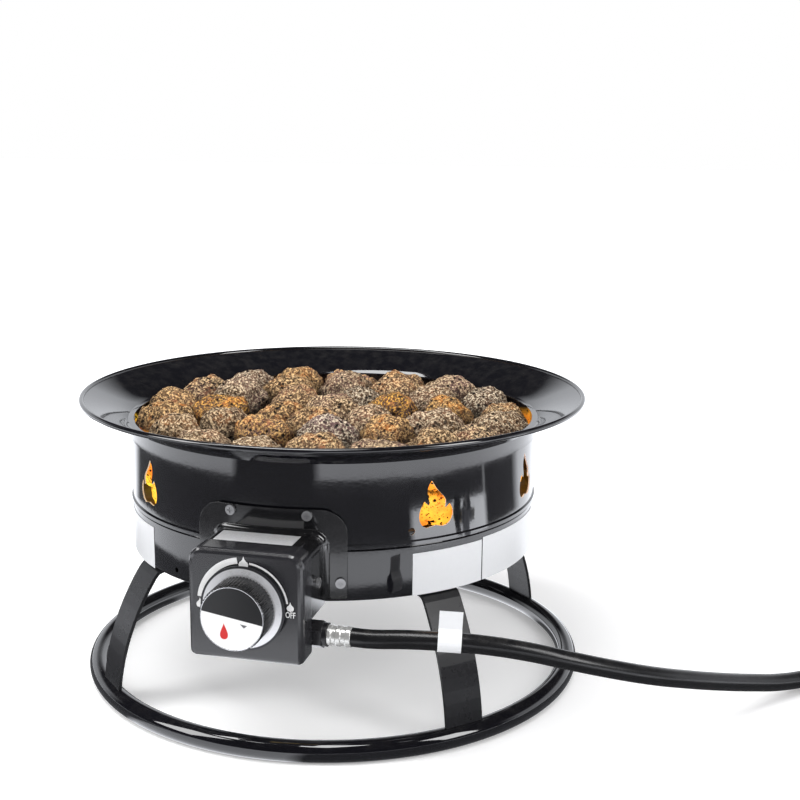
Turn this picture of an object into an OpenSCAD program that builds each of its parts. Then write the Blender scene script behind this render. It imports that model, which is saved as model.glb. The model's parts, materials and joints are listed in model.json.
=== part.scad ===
// Portable gas fire bowl: flared rim, vented drum, hidden ring burner under lava rock,
// front control box, ring stand and a low-pressure hose with its tank regulator.
// Frame: +Z up, ground at z = 0, origin on the bowl's axis, control knob towards -Y.

/* [Bowl] */
// Diameter over the rolled lip of the rim
rim_d = 482.6; // [470:0.2:496]
// Height of the lip's centre above the drum's top edge
rim_rise = 21.5; // [16:0.5:30]
// Radius of the rolled lip
lip_r = 2.5; // [2:0.1:3.5]
// Depth of the collar that holds the rim round the drum
collar_h = 14; // [8:0.5:18]
// Outer diameter of the drum
drum_d = 388; // [380:0.5:394]
// Height of the drum's own wall, from its bead to its top edge
drum_h = 76; // [70:0.5:84]
// Height of the bead rolled round the drum's lower edge
bead_h = 5; // [4:0.5:7]
// How far the bead stands out of the drum
bead_out = 1.6; // [1:0.1:2.2]
// Thickness of the bowl's steel sheet
sheet = 1.2; // [0.8:0.1:1.5]

/* [Flame vents] */
// Number of vents on each side of the control box
vents_a_side = 4; // [2:1:4]
// Angle from the control box to the first vent
vent_start = 43; // [34:1:48]
// Angle between vents
vent_step = 39.2; // [30:0.2:40]
// Height of the vents above the drum's lower edge
vent_lift = 14.5; // [12:0.5:20]
// Scale of the flame outline, 1 being 41 mm tall
vent_scale = 1; // [0.7:0.05:1.1]

/* [Lower pan] */
// Height of the pan's underside above the ground
pan_z = 126.5; // [118:0.5:140]
// Height of the band that shows below the drum
band_h = 46; // [42:0.5:52]
// Radius round the pan's bottom edge
pan_corner = 4; // [3:0.5:8]
// Height of the neck that holds the drum and the burner tray
neck_h = 11.5; // [9:0.5:14]
// Number of air holes in the pan's floor
air_holes = 8; // [4:1:12]
// Diameter of each air hole
air_hole_d = 14; // [8:1:20]

/* [Stand] */
// Diameter of the base ring, centre to centre of its tube
ring_d = 464; // [450:1:480]
// Diameter of the base ring's tube
ring_tube_d = 18.8; // [15:0.2:22]
// Width of each flat leg
leg_w = 37; // [28:1:42]
// Thickness of each flat leg
leg_t = 3; // [2.5:0.5:4]
// Length of the leg's tab under the pan
leg_tab = 24; // [22:1:32]
// Diameter of the leg bolts
bolt_d = 6; // [5:0.5:8]

/* [Burner] */
// Diameter of the burner ring, centre to centre of its tube
burner_d = 220; // [200:2:226]
// Diameter of the burner ring's tube
burner_tube_d = 19; // [17:0.5:21]
// Height of the burner ring's centre above the tray's floor
burner_lift = 23; // [20:0.5:25]
// Number of gas ports round the burner ring
port_count = 20; // [8:2:28]
// Diameter of each gas port
port_d = 2.4; // [1.6:0.2:3]
// Diameter of the mixer tube
mixer_d = 25.4; // [22:0.2:27]

/* [Control box] */
// Width of the control cover
cover_w = 98; // [92:1:104]
// Height of the control cover
cover_h = 93.5; // [88:0.5:100]
// Depth of the cover's folded edges
cover_depth = 23; // [18:0.5:27]
// Distance of the cover's face from the drum's wall
face_out = 61; // [58:0.5:66]
// Height of the knob's axis above the pan's underside
knob_lift = 17.5; // [14:0.5:19]
// Height of the cover's top edge above the knob's axis
cover_top = 46; // [42:0.5:50]
// Radius of the cover's top corners
cover_corner = 12; // [9:0.5:16]
// Radius of the fold round the cover's face
cover_fold = 4.5; // [3:0.1:5]
// Thickness of the bracket's sheet
bracket_t = 1.5; // [1.2:0.1:2]
// Height of the bracket's flange above the box's top
flange_rise = 21; // [16:0.5:26]
// Radius of the flange's top corners
flange_corner = 22; // [16:1:26]
// Reach of the bracket's flange from the middle plane
flange_reach = 66; // [65:0.5:72]

/* [Knob] */
// Diameter of the knob's grip
knob_d = 55; // [48:0.5:60]
// Length of the knob's grip
knob_len = 22.2; // [18:0.2:28]
// Number of ribs round the grip
rib_count = 60; // [36:2:72]
// Depth of each rib
rib_depth = 0.6; // [0.3:0.1:0.9]
// Diameter of the bright skirt behind the knob
skirt_d = 71; // [66:0.5:76]
// How far the knob pushes in
push_travel = 3; // [2:0.5:3]
// Diameter of the valve's stem
stem_d = 8; // [6:0.5:8]

/* [Hose] */
// Outer diameter of the gas hose
hose_d = 16; // [14:0.5:16]
// Radius of the coil's outer turn
coil_r = 108.5; // [104:0.5:116]
// Whole turns in the coil, which lies in two layers
coil_loops = 4; // [3:1:5]

/* [Regulator] */
// Diameter of the regulator's body
regulator_d = 56; // [50:1:64]
// Diameter of the tank nut
tank_nut_d = 48.8; // [44:0.2:49]
// Number of grip ribs on the tank nut
tank_nut_ribs = 12; // [8:1:16]
// Diameter of the nipple's free end
nipple_d = 13; // [11:0.5:14]

/* [Lava rock] */
// Number of rocks in the outer ring of the top layer
rocks_outer = 18; // [15:1:20]
// Number of rocks round the burner in the lower layer
rocks_lower = 15; // [12:1:17]
// Mean width of a rock
rock_w = 68; // [60:1:72]
// Height of the top layer's middle above the burner tray
rock_lift = 55; // [52:0.5:58]
// Seed of the rocks' shapes
rock_seed = 7; // [1:1:40]

/* [Hidden] */
$fn = 96;

// Clearances
seat = 0.2;          // between pieces that rest or are fastened on each other
slip = 0.3;          // between sheet-metal pieces that slip over each other
running = 0.06;      // radial, of a shaft that turns or slides in its hole
screw_play = 0.3;    // radial, of a screw in its hole

// Heights of the bowl
drum_r = drum_d / 2;
band_top = pan_z + band_h;
shell_z = band_top + seat;
drum_top = shell_z + drum_h;
lip_z = drum_top + rim_rise;
pan_floor = pan_z + sheet;
neck_top = band_top + neck_h;
neck_r = drum_r - sheet - slip;
tray_dish = 8;       // depth of the burner tray
tray_z = neck_top + seat - tray_dish;
tray_floor = tray_z + sheet;
tray_r = neck_r - sheet - slip;
air_hole_ring = 90;  // radius of the circle the pan's air holes lie on
tray_hole_ring = 70; // the same for the tray's drain holes
tray_hole_d = 6;
spare_hole_angle = -29.6;  // unused screw hole of the band, left of the control box
spare_hole_z = pan_z + 9.5;
lighting_hole_angle = vent_start - 6.8;  // hole for a match, beside the first vent
lighting_hole_z = shell_z + 12.7;
lighting_hole_d = 6.5;
wall_in = drum_r - sheet;
rim_inner = drum_r - 2.5;

// Stand
ring_r = ring_d / 2;
ring_z = ring_tube_d / 2;
leg_z = pan_z - 0.1 - leg_t / 2;
leg_tab_in = drum_r - 6 - leg_tab;
leg_bolt_r = leg_tab_in + 8;
bolt_r = bolt_d / 2;
bolt_hex = 1.6 * bolt_d + 0.4;
bolt_head_h = 4;
bolt_nut_h = 5;

// Burner
burner_r = burner_d / 2;
burner_tube_r = burner_tube_d / 2;
burner_z = tray_floor + burner_lift;
burner_wall = 1.2;
spoke_r = burner_tube_r - 1.5;
hub_r = 20;
hub_top = burner_z + burner_tube_r + 1.5;
mixer_r = mixer_d / 2;
neck_bore_r = mixer_r + slip;
burner_neck_r = neck_bore_r + 2;
burner_neck_z = tray_z - 9;
locknut_h = 6.8;

// Control box, measured from the drum's wall at the front
knob_z = pan_z + knob_lift;
face_y = -(drum_r + face_out);
cover_t = 1.2;
cover_z1 = knob_z + cover_top;
cover_z0 = cover_z1 - cover_h;
cover_bottom_corner = cover_fold + 1;
channel_w = cover_w - 2 * cover_t - 2 * slip;
channel_top = cover_z1 - cover_t - slip;
channel_corner = cover_corner - cover_t - slip;
channel_z0 = pan_z + 0.5;
channel_y = face_y + cover_depth - 11;
flange_r = drum_r + bead_out + slip;
flange_top = channel_top + flange_rise;
tab_z0 = pan_z + 5;
screw_r = 2;
head_r = 4.4;
head_h = 2.2;
top_screw_x = 33;
top_screw_z = flange_top - 5;
tab_screw_x = 59.5;
tab_screw_z = pan_z + 19;

// Valve and knob along the knob's axis, from the cover inwards and outwards
bonnet_y = face_y + cover_t + slip;
valve_y0 = bonnet_y + 6.5;
valve_y1 = valve_y0 + 41.5;
valve_w = 34;
valve_h = 30;
spring_r = stem_d / 2 + 3;
spring_hole_r = spring_r + 0.6;
pocket_depth = 7.5;
stem_hole_depth = pocket_depth + 9;
flat_depth = 1.2;     // of the flat on the stem's outer end
washer_y = face_y - push_travel - 0.1;
washer_t = 1;
hub_y = washer_y - washer_t - seat;
skirt_y = face_y - push_travel - 2;
skirt_t = 2.6;
grip_y = skirt_y - skirt_t - seat;
knob_face_y = grip_y - knob_len;
knob_hub_r = 8;
cap_r = knob_d / 2 - 1.3;
cap_t = 0.9;
spigot_r = 6.5;
cradle_t = 1.5;
spigot_end = -(drum_r - 12);
lug_x = 22;

// Hose and fittings
hose_r = hose_d / 2;
inlet_y = valve_y1 - 15;
inlet_z = knob_z - 32;
inlet_bend = 12;
inlet_pipe_r = 5;
nut_x0 = cover_w / 2 - 4;
nut_x1 = nut_x0 + 15;
nut_af = 21;
ferrule_len = 20;
ferrule_r = hose_r + 0.7;
lead_start = [nut_x1 + ferrule_len + 0.05, inlet_y, inlet_z];
coil_centre = [586, 8];
coil_low = hose_r + 0.05;
layer_step = hose_d + 0.85;
turn_step = hose_d + 0.8;
coil_in_angle = 134;
coil_turns = coil_loops + coil_in_angle / 360;
coil_out_angle = -360 * coil_loops;

// Lava rock
rock_gap = 0.3;
neighbour_reach = 110;  // no two rocks touch whose centres are further apart
rock_rings = 10;
rock_bands = 6;

// ---------------------------------------------------------------- helpers

function unit(v) = v / norm(v);
function left_of(v) = [-v[1], v[0]];
function arc(centre, r, from, to, steps) =
    [for (i = [0:steps]) let(a = from + (to - from) * i / steps) centre + r * [cos(a), sin(a)]];
function bow(a, b, c, steps) =
    [for (i = [0:steps]) let(u = i / steps) (1 - u) * (1 - u) * a + 2 * u * (1 - u) * b + u * u * c];
function mitre(path, i, side) =
    let(n = len(path) - 1,
        before = unit(path[max(i, 1)] - path[max(i, 1) - 1]),
        after = unit(path[min(i, n - 1) + 1] - path[min(i, n - 1)]),
        way = unit(left_of(before) + left_of(after)))
    path[i] + way * side / (way * left_of(before));
// Outline of a strip of sheet that follows a path
function strip(path, t) = concat(
    [for (i = [0:len(path) - 1]) mitre(path, i, t / 2)],
    [for (i = [len(path) - 1:-1:0]) mitre(path, i, -t / 2)]);

module spun(path, t) {
    rotate_extrude() polygon(strip(path, t));
}

// A cylinder along +X or +Y, from the given start
module along_x(r, from, to) {
    translate([from, 0, 0]) rotate([0, 90, 0]) cylinder(r = r, h = to - from);
}
module along_y(r, from, to) {
    translate([0, from, 0]) rotate([-90, 0, 0]) cylinder(r = r, h = to - from);
}
// A hexagonal bar along +Z, given across its flats
module hex_bar(across, h) {
    cylinder(d = across / cos(30), h = h, $fn = 6);
}
module ring_tube(path_r, tube_r) {
    rotate_extrude() translate([path_r, 0]) circle(r = tube_r);
}
// Places children on the drum at an angle from the front, facing outwards
module on_drum(angle, z) {
    rotate([0, 0, angle]) translate([0, 0, z]) rotate([90, 0, 0]) children();
}
module pan_screw(len) {
    translate([0, 0, -len]) cylinder(r = screw_r, h = len + 0.1);
    difference() {
        cylinder(r = head_r, h = head_h);
        translate([0, 0, head_h - 1]) cross_slot();
    }
}
module cross_slot() {
    for (a = [0, 90]) rotate([0, 0, a]) translate([-2.2, -0.5, 0]) cube([4.4, 1, 2]);
}

// ---------------------------------------------------------------- stand

module base_ring() {
    color("#161618") translate([0, 0, ring_z]) ring_tube(ring_r, ring_tube_d / 2);
}

leg_bow_start = [drum_r + 1, leg_z - 5.5];
leg_path = concat(
    [[leg_tab_in, leg_z], [drum_r - 7, leg_z], [drum_r - 2.5, leg_z - 1.5]],
    bow(leg_bow_start, [ring_r - 5, leg_z - 54], [ring_r, ring_tube_d - 1.5], 10));

module leg(angle) {
    color("#1a1a1d") rotate([0, 0, angle]) difference() {
        rotate([90, 0, 0]) linear_extrude(leg_w, center = true) polygon(strip(leg_path, leg_t));
        translate([0, 0, ring_z]) ring_tube(ring_r, ring_tube_d / 2 + seat);
        translate([leg_bolt_r, 0, leg_z - leg_t]) cylinder(r = bolt_r + screw_play, h = 2 * leg_t);
    }
}
leg_angles = [-135, -45, 135, 45];

module leg_bolts() {
    bolt_end = leg_z - leg_t / 2 - bolt_nut_h - 3;
    color("silver") for (a = leg_angles) rotate([0, 0, a]) translate([leg_bolt_r, 0, 0]) {
        translate([0, 0, pan_floor + seat]) hex_bar(bolt_hex, bolt_head_h);
        translate([0, 0, bolt_end]) cylinder(r = bolt_r, h = pan_floor + 1 - bolt_end);
        difference() {
            translate([0, 0, leg_z - leg_t / 2 - seat - bolt_nut_h]) hex_bar(bolt_hex, bolt_nut_h);
            translate([0, 0, leg_z - 20]) cylinder(r = bolt_r + running, h = 40);
        }
    }
}

// ---------------------------------------------------------------- bowl

module bottom_pan() {
    mid_r = drum_r - sheet / 2;
    mid_z = pan_z + sheet / 2;
    path = concat(
        [[0, mid_z]],
        arc([mid_r - pan_corner, mid_z + pan_corner], pan_corner, -90, 0, 6),
        [[mid_r, band_top - 1.4], [neck_r - sheet / 2, band_top], [neck_r - sheet / 2, neck_top]]);
    color("#141416") difference() {
        spun(path, sheet);
        for (a = leg_angles) rotate([0, 0, a]) translate([leg_bolt_r, 0, pan_z - 1])
            cylinder(r = bolt_r + screw_play, h = sheet + 2);
        for (i = [0:air_holes - 1]) rotate([0, 0, 360 * (i + 0.5) / air_holes])
            translate([air_hole_ring, 0, pan_z - 1]) cylinder(d = air_hole_d, h = sheet + 2);
        translate([0, -drum_r, knob_z]) along_y(spigot_r + 2, -10, 10);
        for (side = [-1, 1]) on_drum(side * asin(tab_screw_x / drum_r), tab_screw_z)
            translate([0, 0, drum_r - 5]) cylinder(r = screw_r + screw_play, h = 10);
        on_drum(spare_hole_angle, spare_hole_z) translate([0, 0, drum_r - 5])
            cylinder(r = screw_r + screw_play, h = 10);
    }
}

// Closed outline of one flame, 34 wide and 41 tall, from the middle of its foot
flame_corners = [[0, 1.8], [7.6, -1.6], [14.5, 1.5], [18, 8.5], [17, 14], [14, 18.8], [13.6, 18.8],
    [9, 14.2], [10.3, 20], [9.5, 24], [5, 28.6], [0, 34], [-4.2, 41], [-4.8, 41], [-8.8, 34.5],
    [-8.3, 28], [-6.5, 23], [-6.6, 18], [-11, 23.4], [-11.5, 23.4], [-15.4, 16.5], [-16.6, 9.5],
    [-14.8, 3], [-9, -1.4]];
flame_outline = [for (i = [0:len(flame_corners) - 1])
    let(a = flame_corners[i],
        b = flame_corners[(i + 1) % len(flame_corners)],
        c = flame_corners[(i + 2) % len(flame_corners)])
    for (k = [0:1]) bow((a + b) / 2, b, (b + c) / 2, 2)[k]];

module flame_vents() {
    for (side = [-1, 1]) for (i = [0:vents_a_side - 1])
        on_drum(side * (vent_start + i * vent_step), shell_z + vent_lift)
            translate([0, 0, drum_r - 10]) linear_extrude(16)
                scale([side * vent_scale, vent_scale]) polygon(flame_outline);
}

module shell() {
    mid_r = drum_r - sheet / 2;
    path = [[mid_r, shell_z], [mid_r + bead_out, shell_z + 0.25 * bead_h],
        [mid_r + bead_out, shell_z + 0.75 * bead_h], [mid_r, shell_z + bead_h], [mid_r, drum_top]];
    color("#141416") difference() {
        spun(path, sheet);
        flame_vents();
        on_drum(lighting_hole_angle, lighting_hole_z)
            translate([0, 0, drum_r - 5]) cylinder(d = lighting_hole_d, h = 10);
        for (side = [-1, 1]) on_drum(side * asin(top_screw_x / drum_r), top_screw_z)
            translate([0, 0, drum_r - 5]) cylinder(r = screw_r + screw_play, h = 10);
    }
}

module rim() {
    seat_z = drum_top + seat + sheet / 2;
    lip_mid = rim_d / 2 - lip_r;
    flare = bow([drum_r + 3, seat_z], [drum_r + 12, seat_z + 11.5], [lip_mid, lip_z], 10);
    color("#141416") union() {
        spun(concat([[rim_inner, seat_z]], flare), sheet);
        translate([0, 0, lip_z]) ring_tube(lip_mid, lip_r);
        rotate_extrude() translate([drum_r + slip, seat_z - collar_h]) square([sheet, collar_h]);
    }
}

module burner_pan() {
    mid = sheet / 2;
    path = concat(
        [[burner_neck_r + slip, tray_z + mid]],
        arc([tray_r - mid - 2, tray_z + mid + 2], 2, -90, 0, 3),
        [[tray_r - mid, neck_top + seat + mid], [neck_r - seat, neck_top + seat + mid]]);
    color("#2a2a2c") difference() {
        spun(path, sheet);
        for (i = [0:5]) rotate([0, 0, 60 * i + 30]) translate([tray_hole_ring, 0, tray_z - 1])
            cylinder(d = tray_hole_d, h = sheet + 2);
    }
}

// ---------------------------------------------------------------- burner

module burner() {
    color("#8f8b84") difference() {
        union() {
            translate([0, 0, burner_z]) ring_tube(burner_r, burner_tube_r);
            translate([0, 0, burner_z]) along_x(spoke_r, -burner_r, burner_r);
            translate([0, 0, tray_floor + seat]) cylinder(r = hub_r, h = hub_top - tray_floor - seat);
            translate([0, 0, burner_neck_z])
                cylinder(r = burner_neck_r, h = tray_floor + 1 - burner_neck_z);
        }
        translate([0, 0, burner_z]) ring_tube(burner_r, burner_tube_r - burner_wall);
        translate([0, 0, burner_z]) along_x(spoke_r - burner_wall, -burner_r, burner_r);
        translate([0, 0, tray_floor + seat + burner_wall])
            cylinder(r = hub_r - burner_wall, h = hub_top - tray_floor - seat - 2 * burner_wall);
        translate([0, 0, burner_neck_z - 1])
            cylinder(r = neck_bore_r, h = tray_floor + 2 * burner_wall + 2 - burner_neck_z);
        for (i = [0:port_count - 1]) rotate([0, 0, 360 * (i + 0.5) / port_count])
            translate([burner_r, 0, burner_z]) rotate([0, 35, 0])
                cylinder(d = port_d, h = burner_tube_r + 2);
    }
}

module burner_locknut() {
    color("silver") translate([0, 0, tray_z - seat - locknut_h]) difference() {
        hex_bar(2 * burner_neck_r + 11, locknut_h);
        translate([0, 0, -1]) cylinder(r = burner_neck_r + running, h = locknut_h + 2);
    }
}

mixer_bend = 22;
mixer_mouth_y = spigot_end + 8;
module mixer_shape(r, bell_r, extra) {
    translate([0, 0, knob_z + mixer_bend - 0.01])
        cylinder(r = r, h = tray_z + extra - knob_z - mixer_bend);
    translate([0, -mixer_bend, knob_z + mixer_bend]) rotate([90, 0, 90])
        rotate_extrude(angle = -90) translate([mixer_bend, 0]) circle(r = r);
    translate([0, 0, knob_z]) {
        along_y(r, mixer_mouth_y + 13.9, -mixer_bend + 0.01);
        translate([0, mixer_mouth_y, 0]) rotate([-90, 0, 0]) {
            translate([0, 0, 2]) cylinder(r1 = bell_r, r2 = r, h = 12);
            translate([0, 0, -extra]) cylinder(r = bell_r, h = 2 + extra);
        }
    }
}
module mixer_tube() {
    color("#a7a49c") difference() {
        mixer_shape(mixer_r, mixer_r + 2, 0);
        mixer_shape(mixer_r - 1.2, mixer_r + 0.8, 1);
    }
}

module jet() {
    color("#b8953f") translate([0, 0, knob_z]) difference() {
        union() {
            translate([0, spigot_end + seat, 0]) rotate([-90, 0, 0]) hex_bar(13, 6);
            translate([0, spigot_end + seat + 5.9, 0]) rotate([-90, 0, 0])
                cylinder(r1 = 5, r2 = 3, h = 7);
        }
        along_y(1, spigot_end, spigot_end + 20);
    }
}

// ---------------------------------------------------------------- valve

module valve_body() {
    color("#b89a55") difference() {
        union() {
            translate([-valve_w / 2, valve_y0, knob_z - valve_h / 2])
                cube([valve_w, valve_y1 - valve_y0, valve_h]);
            translate([0, 0, knob_z]) {
                along_y(12, bonnet_y, valve_y0 + 1);
                along_y(spigot_r, valve_y1 - 1, spigot_end);
            }
            translate([-lug_x - 6, bonnet_y, knob_z - 6]) cube([2 * lug_x + 12, 4, 12]);
            translate([0, inlet_y, knob_z - valve_h / 2 - 4]) cylinder(r = 8, h = 6);
        }
        translate([0, 0, knob_z]) {
            along_y(stem_d / 2 + running, bonnet_y - 1, bonnet_y + stem_hole_depth);
            along_y(spring_hole_r, bonnet_y - 1, bonnet_y + pocket_depth);
            along_y(3, spigot_end - 20, spigot_end + 1);
            for (x = [-lug_x, lug_x]) translate([x, 0, 0])
                along_y(screw_r + running, bonnet_y - 1, bonnet_y + 5);
        }
    }
}

module outlet_nut() {
    y0 = valve_y1 + seat + cradle_t + seat;
    color("silver") translate([0, y0, knob_z]) rotate([-90, 0, 0]) difference() {
        hex_bar(19, 5);
        translate([0, 0, -1]) cylinder(r = spigot_r + running, h = 7);
    }
}

cradle_w = channel_w - 2 * bracket_t - 2 * slip;
cradle_y = valve_y1 + seat;
cradle_screw_y = cradle_y - 6.5;
cradle_screw_z = knob_z + 9;
module valve_cradle() {
    z0 = knob_z - 10;
    h = 26;
    wing = 15;
    color("#9a9a9c") difference() {
        translate([-cradle_w / 2, cradle_y + cradle_t - wing, z0]) cube([cradle_w, wing, h]);
        translate([-cradle_w / 2 + cradle_t, cradle_y - wing, z0 - 1])
            cube([cradle_w - 2 * cradle_t, wing, h + 2]);
        translate([0, 0, knob_z]) along_y(spigot_r + screw_play, cradle_y - 1, cradle_y + 5);
        translate([0, cradle_screw_y, cradle_screw_z])
            along_x(screw_r + screw_play, -cover_w, cover_w);
    }
}

module cradle_screws() {
    color("silver") for (side = [-1, 1])
        translate([side * (channel_w / 2 + 0.1), cradle_screw_y, cradle_screw_z])
            rotate([0, side * 90, 0]) pan_screw(7);
}

module valve_screws() {
    color("silver") for (x = [-lug_x, lug_x]) translate([x, face_y - 0.1, knob_z])
        rotate([90, 0, 0]) {
            translate([0, 0, -6.5]) cylinder(r = screw_r, h = 7);
            difference() {
                cylinder(r = 3.8, h = 1.4);
                translate([0, 0, 0.7]) cross_slot();
            }
        }
}

module valve_stem() {
    flat_len = hub_y - 2 - knob_face_y;
    color("silver") translate([0, 0, knob_z]) difference() {
        along_y(stem_d / 2, knob_face_y + 4, bonnet_y + stem_hole_depth - push_travel - 0.5);
        translate([-stem_d, knob_face_y, stem_d / 2 - flat_depth]) cube([2 * stem_d, flat_len, stem_d]);
    }
}

module stem_spring() {
    color("silver") translate([0, 0, knob_z]) difference() {
        along_y(spring_r, washer_y + 0.05, bonnet_y + pocket_depth - push_travel - 0.3);
        along_y(spring_r - 1.6, washer_y - 1, bonnet_y + 20);
    }
}

module thrust_washer() {
    color("silver") translate([0, 0, knob_z]) difference() {
        along_y(spring_r + 1.5, washer_y - washer_t, washer_y);
        along_y(stem_d / 2 + running, washer_y - 5, washer_y + 5);
    }
}

// ---------------------------------------------------------------- control box

// Square-bottomed outline with round top corners, in x and z
module arch(w, z0, z1, r) {
    translate([-w / 2, z0]) square([w, z1 - r - z0]);
    translate([-w / 2 + r, z0]) square([w - 2 * r, z1 - z0]);
    for (x = [-w / 2 + r, w / 2 - r]) translate([x, z1 - r]) circle(r = r);
}

module front_extrude(from, to) {
    translate([0, to, 0]) rotate([90, 0, 0]) linear_extrude(to - from) children();
}

module control_bracket() {
    color("#18181b") difference() {
        union() {
            intersection() {
                translate([0, 0, pan_z]) cylinder(r = flange_r + bracket_t, h = 2 * band_h);
                front_extrude(-2 * drum_r, -drum_r / 2)
                    arch(2 * flange_reach, tab_z0, flange_top, flange_corner);
            }
            front_extrude(channel_y, -drum_r / 2) difference() {
                arch(channel_w, channel_z0, channel_top, channel_corner);
                arch(channel_w - 2 * bracket_t, channel_z0 - 1, channel_top - bracket_t,
                    channel_corner - bracket_t);
            }
        }
        cylinder(r = flange_r, h = 2 * drum_top);
        for (side = [-1, 1]) {
            on_drum(side * asin(top_screw_x / drum_r), top_screw_z) screw_hole();
            on_drum(side * asin(tab_screw_x / drum_r), tab_screw_z) screw_hole();
        }
        translate([0, cradle_screw_y, cradle_screw_z])
            along_x(screw_r + screw_play, -cover_w, cover_w);
        window();
    }
}
module screw_hole() {
    translate([0, 0, drum_r - 5]) cylinder(r = screw_r + screw_play, h = 15);
}
// The sheet between the tabs is folded out, so the box is open to the drum
module window() {
    front_extrude(-flange_r - bracket_t - 1, -drum_r / 2)
        arch(channel_w - 2 * bracket_t, 0, channel_top - bracket_t, channel_corner - bracket_t);
}

module bracket_screws() {
    seat_r = flange_r + bracket_t + 0.1;
    color("silver") for (side = [-1, 1])
        for (p = [[top_screw_x, top_screw_z], [tab_screw_x, tab_screw_z]])
        on_drum(side * asin(p[0] / drum_r), p[1])
            translate([0, 0, seat_r]) pan_screw(seat_r - wall_in - 0.1);
}

// One corner of the cover, its front edge rounded by the given fillet
module cover_corner_puck(r, fillet, depth) {
    for (a = [0, 30, 60, 90]) translate([0, fillet * (1 - sin(a)), 0]) rotate([-90, 0, 0])
        cylinder(r = r - fillet * (1 - cos(a)), h = depth - fillet * (1 - sin(a)), $fn = 32);
}
module cover_block(inset, fillet, from, depth) {
    half = cover_w / 2 - inset;
    top = cover_z1 - inset;
    low = cover_z0 + inset;
    hull() for (side = [-1, 1]) {
        r1 = cover_corner - inset;
        r0 = cover_bottom_corner - inset;
        translate([side * (half - r1), from, top - r1]) cover_corner_puck(r1, fillet, depth);
        translate([side * (half - r0), from, low + r0]) cover_corner_puck(r0, fillet, depth);
    }
}
module control_cover() {
    color("#1c1c20") difference() {
        cover_block(0, cover_fold, face_y, cover_depth);
        cover_block(cover_t, cover_fold - cover_t, face_y + cover_t, cover_depth + 5);
        translate([0, 0, knob_z]) {
            along_y(spring_r + 1, face_y - 5, face_y + 5);
            for (x = [-lug_x, lug_x]) translate([x, 0, 0])
                along_y(screw_r + screw_play, face_y - 5, face_y + 5);
        }
    }
}

// ---------------------------------------------------------------- knob

module knob_skirt() {
    r = skirt_d / 2;
    y0 = -skirt_y;
    profile = [[knob_hub_r + seat, y0], [r - 0.8, y0], [r, y0 + 0.5], [r, y0 + 1.2],
        [knob_d / 2 + 1, y0 + skirt_t], [knob_hub_r + seat, y0 + skirt_t]];
    color("#d8d8da") translate([0, 0, knob_z]) rotate([90, 0, 0]) rotate_extrude() polygon(profile);
}

grip_r = knob_d / 2;
grip_outline = [for (i = [0:rib_count - 1]) for (k = [0:3])
    let(a = 360 * (i + k / 4) / rib_count, r = k < 2 ? grip_r : grip_r - rib_depth)
    r * [cos(a), sin(a)]];
module knob() {
    y0 = -grip_y;
    front = -knob_face_y;
    color("#202024") translate([0, 0, knob_z]) rotate([90, 0, 0]) difference() {
        union() {
            difference() {
                translate([0, 0, y0]) linear_extrude(knob_len - 1) polygon(grip_outline);
                translate([0, 0, y0 - 1]) cylinder(r = grip_r - 4, h = knob_len - 7);
            }
            translate([0, 0, front - 1]) cylinder(r1 = grip_r - rib_depth, r2 = grip_r - 1, h = 1);
            translate([0, 0, -hub_y]) cylinder(r = knob_hub_r, h = front + hub_y - 5);
        }
        translate([0, 0, front - cap_t - 0.1]) cylinder(r = cap_r + 0.1, h = 5);
        translate([0, 0, -hub_y - 1]) difference() {
            cylinder(r = stem_d / 2 + 0.1, h = front + hub_y - 2.8);
            translate([-stem_d, stem_d / 2 - flat_depth + 0.1, 3]) cube([2 * stem_d, stem_d, 2 * knob_len]);
        }
    }
}

module knob_cap() {
    color("white") translate([0, 0, knob_z]) along_y(cap_r, knob_face_y, knob_face_y + cap_t);
}

// ---------------------------------------------------------------- gas inlet

module inlet_elbow() {
    top = knob_z - valve_h / 2 - 4 - seat;
    color("#b89a55") translate([0, inlet_y, inlet_z]) {
        along_x(inlet_pipe_r, inlet_bend - 0.01, nut_x0 + 7);
        translate([inlet_bend, 0, inlet_bend]) rotate([90, 0, 0]) rotate([0, 0, 180])
            rotate_extrude(angle = 90) translate([inlet_bend, 0]) circle(r = inlet_pipe_r);
        translate([0, 0, inlet_bend - 0.01])
            cylinder(r = inlet_pipe_r, h = top - inlet_z - inlet_bend);
        translate([0, 0, top - inlet_z - 4.5]) hex_bar(16, 4.5);
    }
}

module flare_nut() {
    color("#222224") translate([0, inlet_y, inlet_z]) difference() {
        union() {
            translate([nut_x0, 0, 0]) rotate([0, 90, 0]) hex_bar(nut_af, nut_x1 - nut_x0 - 4);
            along_x(nut_af / 2 - 0.5, nut_x1 - 5, nut_x1 - seat);
        }
        along_x(inlet_pipe_r + slip, nut_x0 - 1, nut_x1 + 1);
    }
}

// Crimped hose end, from its spigot to the face that meets the hose
module ferrule() {
    groove = 0.7;
    profile = [[0, -7], [4.9, -7], [4.9, 0], [ferrule_r - 0.4, 0], [ferrule_r, 0.4],
        [ferrule_r, 3], [ferrule_r - groove, 4], [ferrule_r - groove, 7], [ferrule_r, 8],
        [ferrule_r, 11], [ferrule_r - groove, 12], [ferrule_r - groove, 15], [ferrule_r, 16],
        [ferrule_r, ferrule_len - 0.4], [ferrule_r - 0.4, ferrule_len], [0, ferrule_len]];
    rotate_extrude() polygon(profile);
}
module ferrule_near() {
    color("silver") translate([nut_x1, inlet_y, inlet_z]) rotate([0, 90, 0]) ferrule();
}

// ---------------------------------------------------------------- hose

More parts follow.
